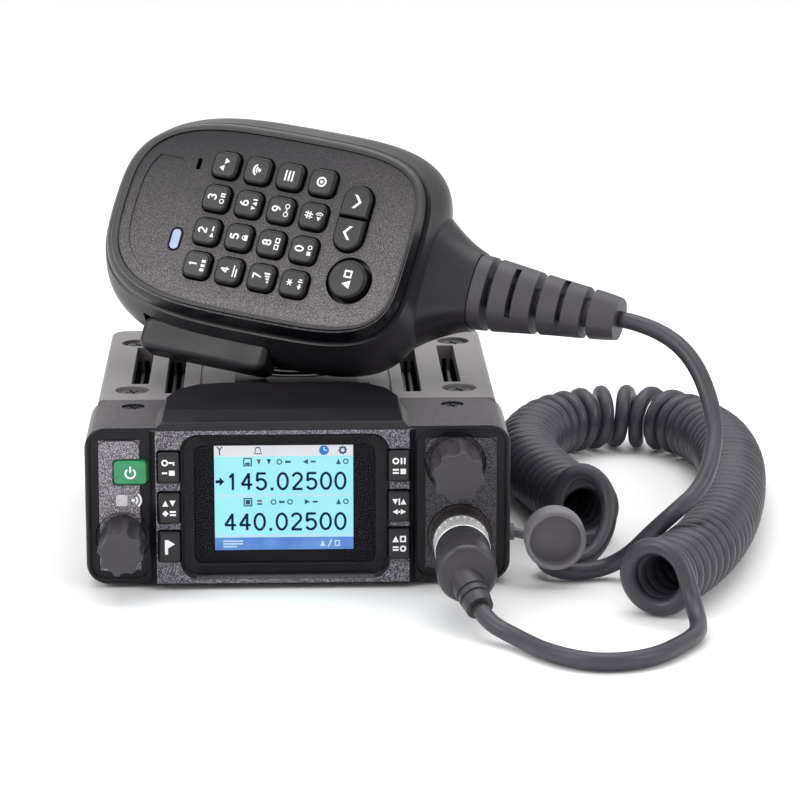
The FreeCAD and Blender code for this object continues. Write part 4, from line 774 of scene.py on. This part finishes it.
# ---- side keys
FY = FRONT - 0.0033
XF, ZF, NF = (1, 0, 0), (0, 0, 1), (0, -1, 0)
SIDE = {
    "side_key_left_1": (-29.65, 29.3, [ring(0.78, 0.38, -0.85, 1.25), bar(1.4, 0.42, 0.7, 1.25), bar(0.4, 0.6, 1.2, 0.95),
                                       bar(1.2, 0.42, -0.9, -1.15), bar(1.3, 1.2, 0.75, -1.15)]),
    "side_key_left_2": (-29.65, 19.7, [triangle(1.4, 1.4, -0.85, 1.25), triangle(1.4, 1.4, 0.8, 1.25, 180),
                                       poly((-1.6, -1.15), (-0.85, -1.9), (-0.1, -1.15), (-0.85, -0.4)), bar(1.4, 0.42, 0.85, -0.75),
                                       bar(1.4, 0.42, 0.85, -1.5)]),
    "side_key_left_3": (-29.65, 10.5, [poly((-1.1, -1.7), (-0.4, -1.7), (-0.4, -0.25), (1.2, 0.75), (-0.4, 1.75), (-1.1, 1.75))]),
    "side_key_right_1": (23.2, 29.3, [ring(0.78, 0.38, -0.8, 1.25), bar(0.4, 1.5, 0.5, 1.25), bar(0.4, 1.5, 1.25, 1.25),
                                      bar(1.4, 0.42, -0.8, -0.8), bar(1.4, 0.42, -0.8, -1.55), bar(1.25, 1.25, 0.9, -1.2)]),
    "side_key_right_2": (23.2, 19.7, [triangle(1.3, 1.3, -0.95, 1.2, 180), bar(0.34, 1.6, 0.0, 1.2), triangle(1.3, 1.3, 0.95, 1.2),
                                      triangle(1.3, 1.2, -0.95, -1.2, 90), bar(0.5, 0.42, 0.0, -1.2), triangle(1.3, 1.2, 0.95, -1.2, -90)]),
    "side_key_right_3": (23.2, 10.8, [triangle(1.5, 1.5, -0.85, 1.2), frame_box(1.4, 1.5, 0.34, 0.85, 1.2),
                                      bar(1.35, 0.38, -0.85, -0.75), bar(1.35, 0.38, -0.85, -1.4), ring(0.75, 0.38, 0.85, -1.1)]),
}
for name, (x, z, shapes) in SIDE.items():
    raised("print_" + name, shapes, (x * MM, FY, z * MM), XF, ZF, NF, name, white_print_glowing)
# ---- power key and transmit lamp sign
raised("print_power", [arc(1.32, 0.42, -235, 55, 0, -0.1), bar(0.42, 1.5, 0, 0.85)], (-0.0385, FRONT - 0.0009, 0.0276), XF, ZF, NF,
       "power_button", white_print_glowing)
raised("print_transmit", [[circle(0.42, -0.9, 0, 14)], arc(1.2, 0.42, -52, 52, -0.9, 0, 12), arc(2.05, 0.42, -52, 52, -0.9, 0, 14)],
       (-0.0371, FRONT, 0.0209), XF, ZF, NF, "base", white_print_glowing)

# ------------------------------------------------------------------ the screen
LX0, LX1, LZ0, LZ1 = -19.3, 12.7, 8.6, 34.3
PY = FRONT + 0.0009
lw, lh = LX1 - LX0, LZ1 - LZ0
cyan = glow("screen_cyan", (0.37, 0.93, 0.99), (0.44, 0.97, 1.0), 0.86, 60)
pale = glow("screen_white", (0.86, 0.87, 0.93), (0.92, 0.92, 0.96), 0.80)
blue = glow("screen_blue", (0.10, 0.25, 0.70), (0.18, 0.38, 0.84), 0.84, 200)
navy = glow("screen_navy", (0.006, 0.022, 0.13), (0.010, 0.035, 0.17), 0.30)
line_c = glow("screen_line", (0.62, 0.85, 0.97), (0.70, 0.90, 1.0), 0.80)
grey_c = glow("screen_grey", (0.06, 0.16, 0.30), (0.09, 0.20, 0.35), 0.35)
rose_c = glow("screen_rose", (0.35, 0.16, 0.32), (0.42, 0.2, 0.36), 0.4)
black_rim = glass_black
O = ((LX0) * MM, PY, LZ0 * MM)


def scr(name, shapes, mat, level):
    return raised(name, shapes, O, XF, ZF, NF, "base", mat, level * 0.05 - 0.03, level * 0.05 + 0.02)


def lbar(x0, x1, z0, z1):
    return bar(x1 - x0, z1 - z0, (x0 + x1) / 2, (z0 + z1) / 2)


LTOP = 24.85
scr("screen_field", [lbar(0, lw, 0, LTOP)], cyan, 1)
scr("screen_status_bar", [lbar(0, lw, lh - 3.4, LTOP)], pale, 2)
scr("screen_footer", [lbar(0, lw, 0, 2.95)], blue, 2)
scr("screen_lines", [lbar(0, lw, 12.75, 13.1), lbar(0, lw, 3.1, 3.5), lbar(12.0, 13.1, 20.3, 20.5),
                     lbar(22.4, 24.8, 20.3, 20.5)], line_c, 2)
ROWS = figures("145.02500", 2.5, 30.7, 4.35, 16.35, 0.58) + figures("440.02500", 1.9, 30.7, 4.35, 6.7, 0.58)
scr("screen_digits", ROWS + [poly((0.3, 16.0), (1.2, 16.0), (1.2, 15.3), (2.3, 16.35), (1.2, 17.4), (1.2, 16.7), (0.3, 16.7))], navy, 3)


def gear(r, cx_, cy_, teeth=8):
    p = []
    for i in range(teeth * 4):
        a = 2 * math.pi * i / (teeth * 4)
        q = r if i % 4 in (0, 1) else r * 0.78
        p.append((cx_ + q * math.cos(a), cy_ + q * math.sin(a)))
    return [p, circle(r * 0.42, cx_, cy_)[::-1]]


bell = [(-0.95, -0.8), (0.95, -0.8), (0.95, -0.55), (0.7, -0.35), (0.7, 0.35), (0.4, 0.85), (-0.4, 0.85), (-0.7, 0.35), (-0.7, -0.35),
        (-0.95, -0.55)]
bell_in = [(x * 0.74, y * 0.74 - 0.02) for x, y in bell]
TOPZ = lh - 2.05
scr("screen_status_icons", [
    poly((0.55, TOPZ + 1.0), (1.15, TOPZ + 0.2), (1.15, TOPZ - 1.0), (1.45, TOPZ - 1.0), (1.45, TOPZ + 0.2), (2.05, TOPZ + 1.0),
         (1.7, TOPZ + 1.0), (1.3, TOPZ + 0.5), (0.9, TOPZ + 1.0)),
    [[(10.1 + x, TOPZ + y) for x, y in bell], [(10.1 + x, TOPZ + y) for x, y in bell_in][::-1]],
    gear(1.05, 29.6, TOPZ)], grey_c, 3)
scr("screen_clock", [[circle(1.15, 25.3, TOPZ)]], glow("clock_blue", (0.03, 0.22, 0.75), (0.05, 0.30, 0.85), 0.7), 3)
scr("screen_clock_hands", [bar(0.22, 0.9, 25.3, TOPZ + 0.35), bar(0.7, 0.22, 25.6, TOPZ)], pale, 4)
L1, L2 = 20.95, 11.4
scr("screen_signs", [
    frame_box(2.0, 2.0, 0.26, 7.7, L1), bar(1.1, 0.5, 7.7, L1 - 0.4),
    triangle(1.0, 1.3, 12.6, L1, 180), ring(0.65, 0.24, 15.0, L1), bar(1.3, 0.5, 17.0, L1), triangle(1.2, 1.2, 21.0, L1, 90),
    bar(1.2, 0.4, 22.8, L1), triangle(1.1, 1.3, 28.6, L1, 0), ring(0.65, 0.24, 30.3, L1),
    frame_box(2.0, 2.0, 0.26, 7.7, L2), bar(1.1, 1.1, 7.7, L2),
    ring(0.65, 0.24, 13.6, L2), bar(1.3, 0.5, 15.5, L2), ring(0.65, 0.24, 17.4, L2), triangle(1.2, 1.2, 21.4, L2, -90),
    bar(1.2, 0.4, 23.2, L2), triangle(1.1, 1.3, 28.6, L2, 0), ring(0.65, 0.24, 30.3, L2)], grey_c, 3)
scr("screen_marks", [triangle(1.1, 1.3, 10.3, L1, 180), bar(1.1, 0.45, 10.4, L2 + 0.3), bar(1.1, 0.45, 10.4, L2 - 0.45)], rose_c, 3)
scr("screen_footer_signs", [bar(4.6, 0.3, 4.2, 2.1), bar(4.6, 0.3, 4.2, 1.45), bar(3.2, 0.3, 3.5, 0.8),
                            triangle(1.3, 1.4, 24.9, 1.45), poly((26.0, 0.6), (26.35, 0.6), (27.15, 2.3), (26.8, 2.3)),
                            frame_box(1.2, 1.4, 0.26, 28.3, 1.45)], line_c, 3)
# the black printed border behind the glass, round the lit area
raised("screen_border", [[[(-4.4, -2.9), (36.8, -2.9), (36.8, LTOP), (lw, LTOP), (lw, 0.0), (0.0, 0.0), (0.0, LTOP), (-4.4, LTOP)]]],
       O, XF, ZF, NF, "base", black_rim, 0.0, 0.16)

# ---------------------------------------------------------- floor and lighting
fm, fnt, fb, ftc = new_mat("floor_white")
fn = noise(fnt, ftc, 6, 2.0)
fc = ramp(fnt, fn.outputs["Fac"], [(0.3, (0.93, 0.93, 0.935)), (0.7, (0.95, 0.95, 0.955))])
fnt.links.new(fc.outputs["Color"], fb.inputs["Base Color"])
fb.inputs["Roughness"].default_value = 0.9
fb.inputs["Specular IOR Level"].default_value = 0.1
bpy.ops.mesh.primitive_plane_add(size=8.0, location=(0, 1.0, -0.0002))
floor = bpy.context.active_object
floor.name = "floor"
floor.data.materials.append(fm)

world = bpy.data.worlds.new("studio")
scene.world = world
world.use_nodes = True
wb = world.node_tree.nodes["Background"]
wb.inputs["Color"].default_value = (1.0, 1.0, 1.0, 1)
wb.inputs["Strength"].default_value = 0.80


def area(name, loc, target, size, power, size_y=None):
    d = bpy.data.lights.new(name, "AREA")
    d.energy = power
    d.shape = "RECTANGLE"
    d.size, d.size_y = size, size_y or size
    o = bpy.data.objects.new(name, d)
    scene.collection.objects.link(o)
    o.location = loc
    o.rotation_mode = "QUATERNION"
    o.rotation_quaternion = (Vector(target) - Vector(loc)).to_track_quat("-Z", "Y")
    return o


area("top_soft", (0.05, 0.25, 1.1), (0.02, 0.03, 0.0), 1.0, 7.0)
area("left_soft", (-0.9, -0.5, 0.75), (0.0, 0.02, 0.03), 0.6, 5.0)
area("right_soft", (0.9, -0.4, 0.6), (0.0, 0.02, 0.03), 0.5, 2.5)
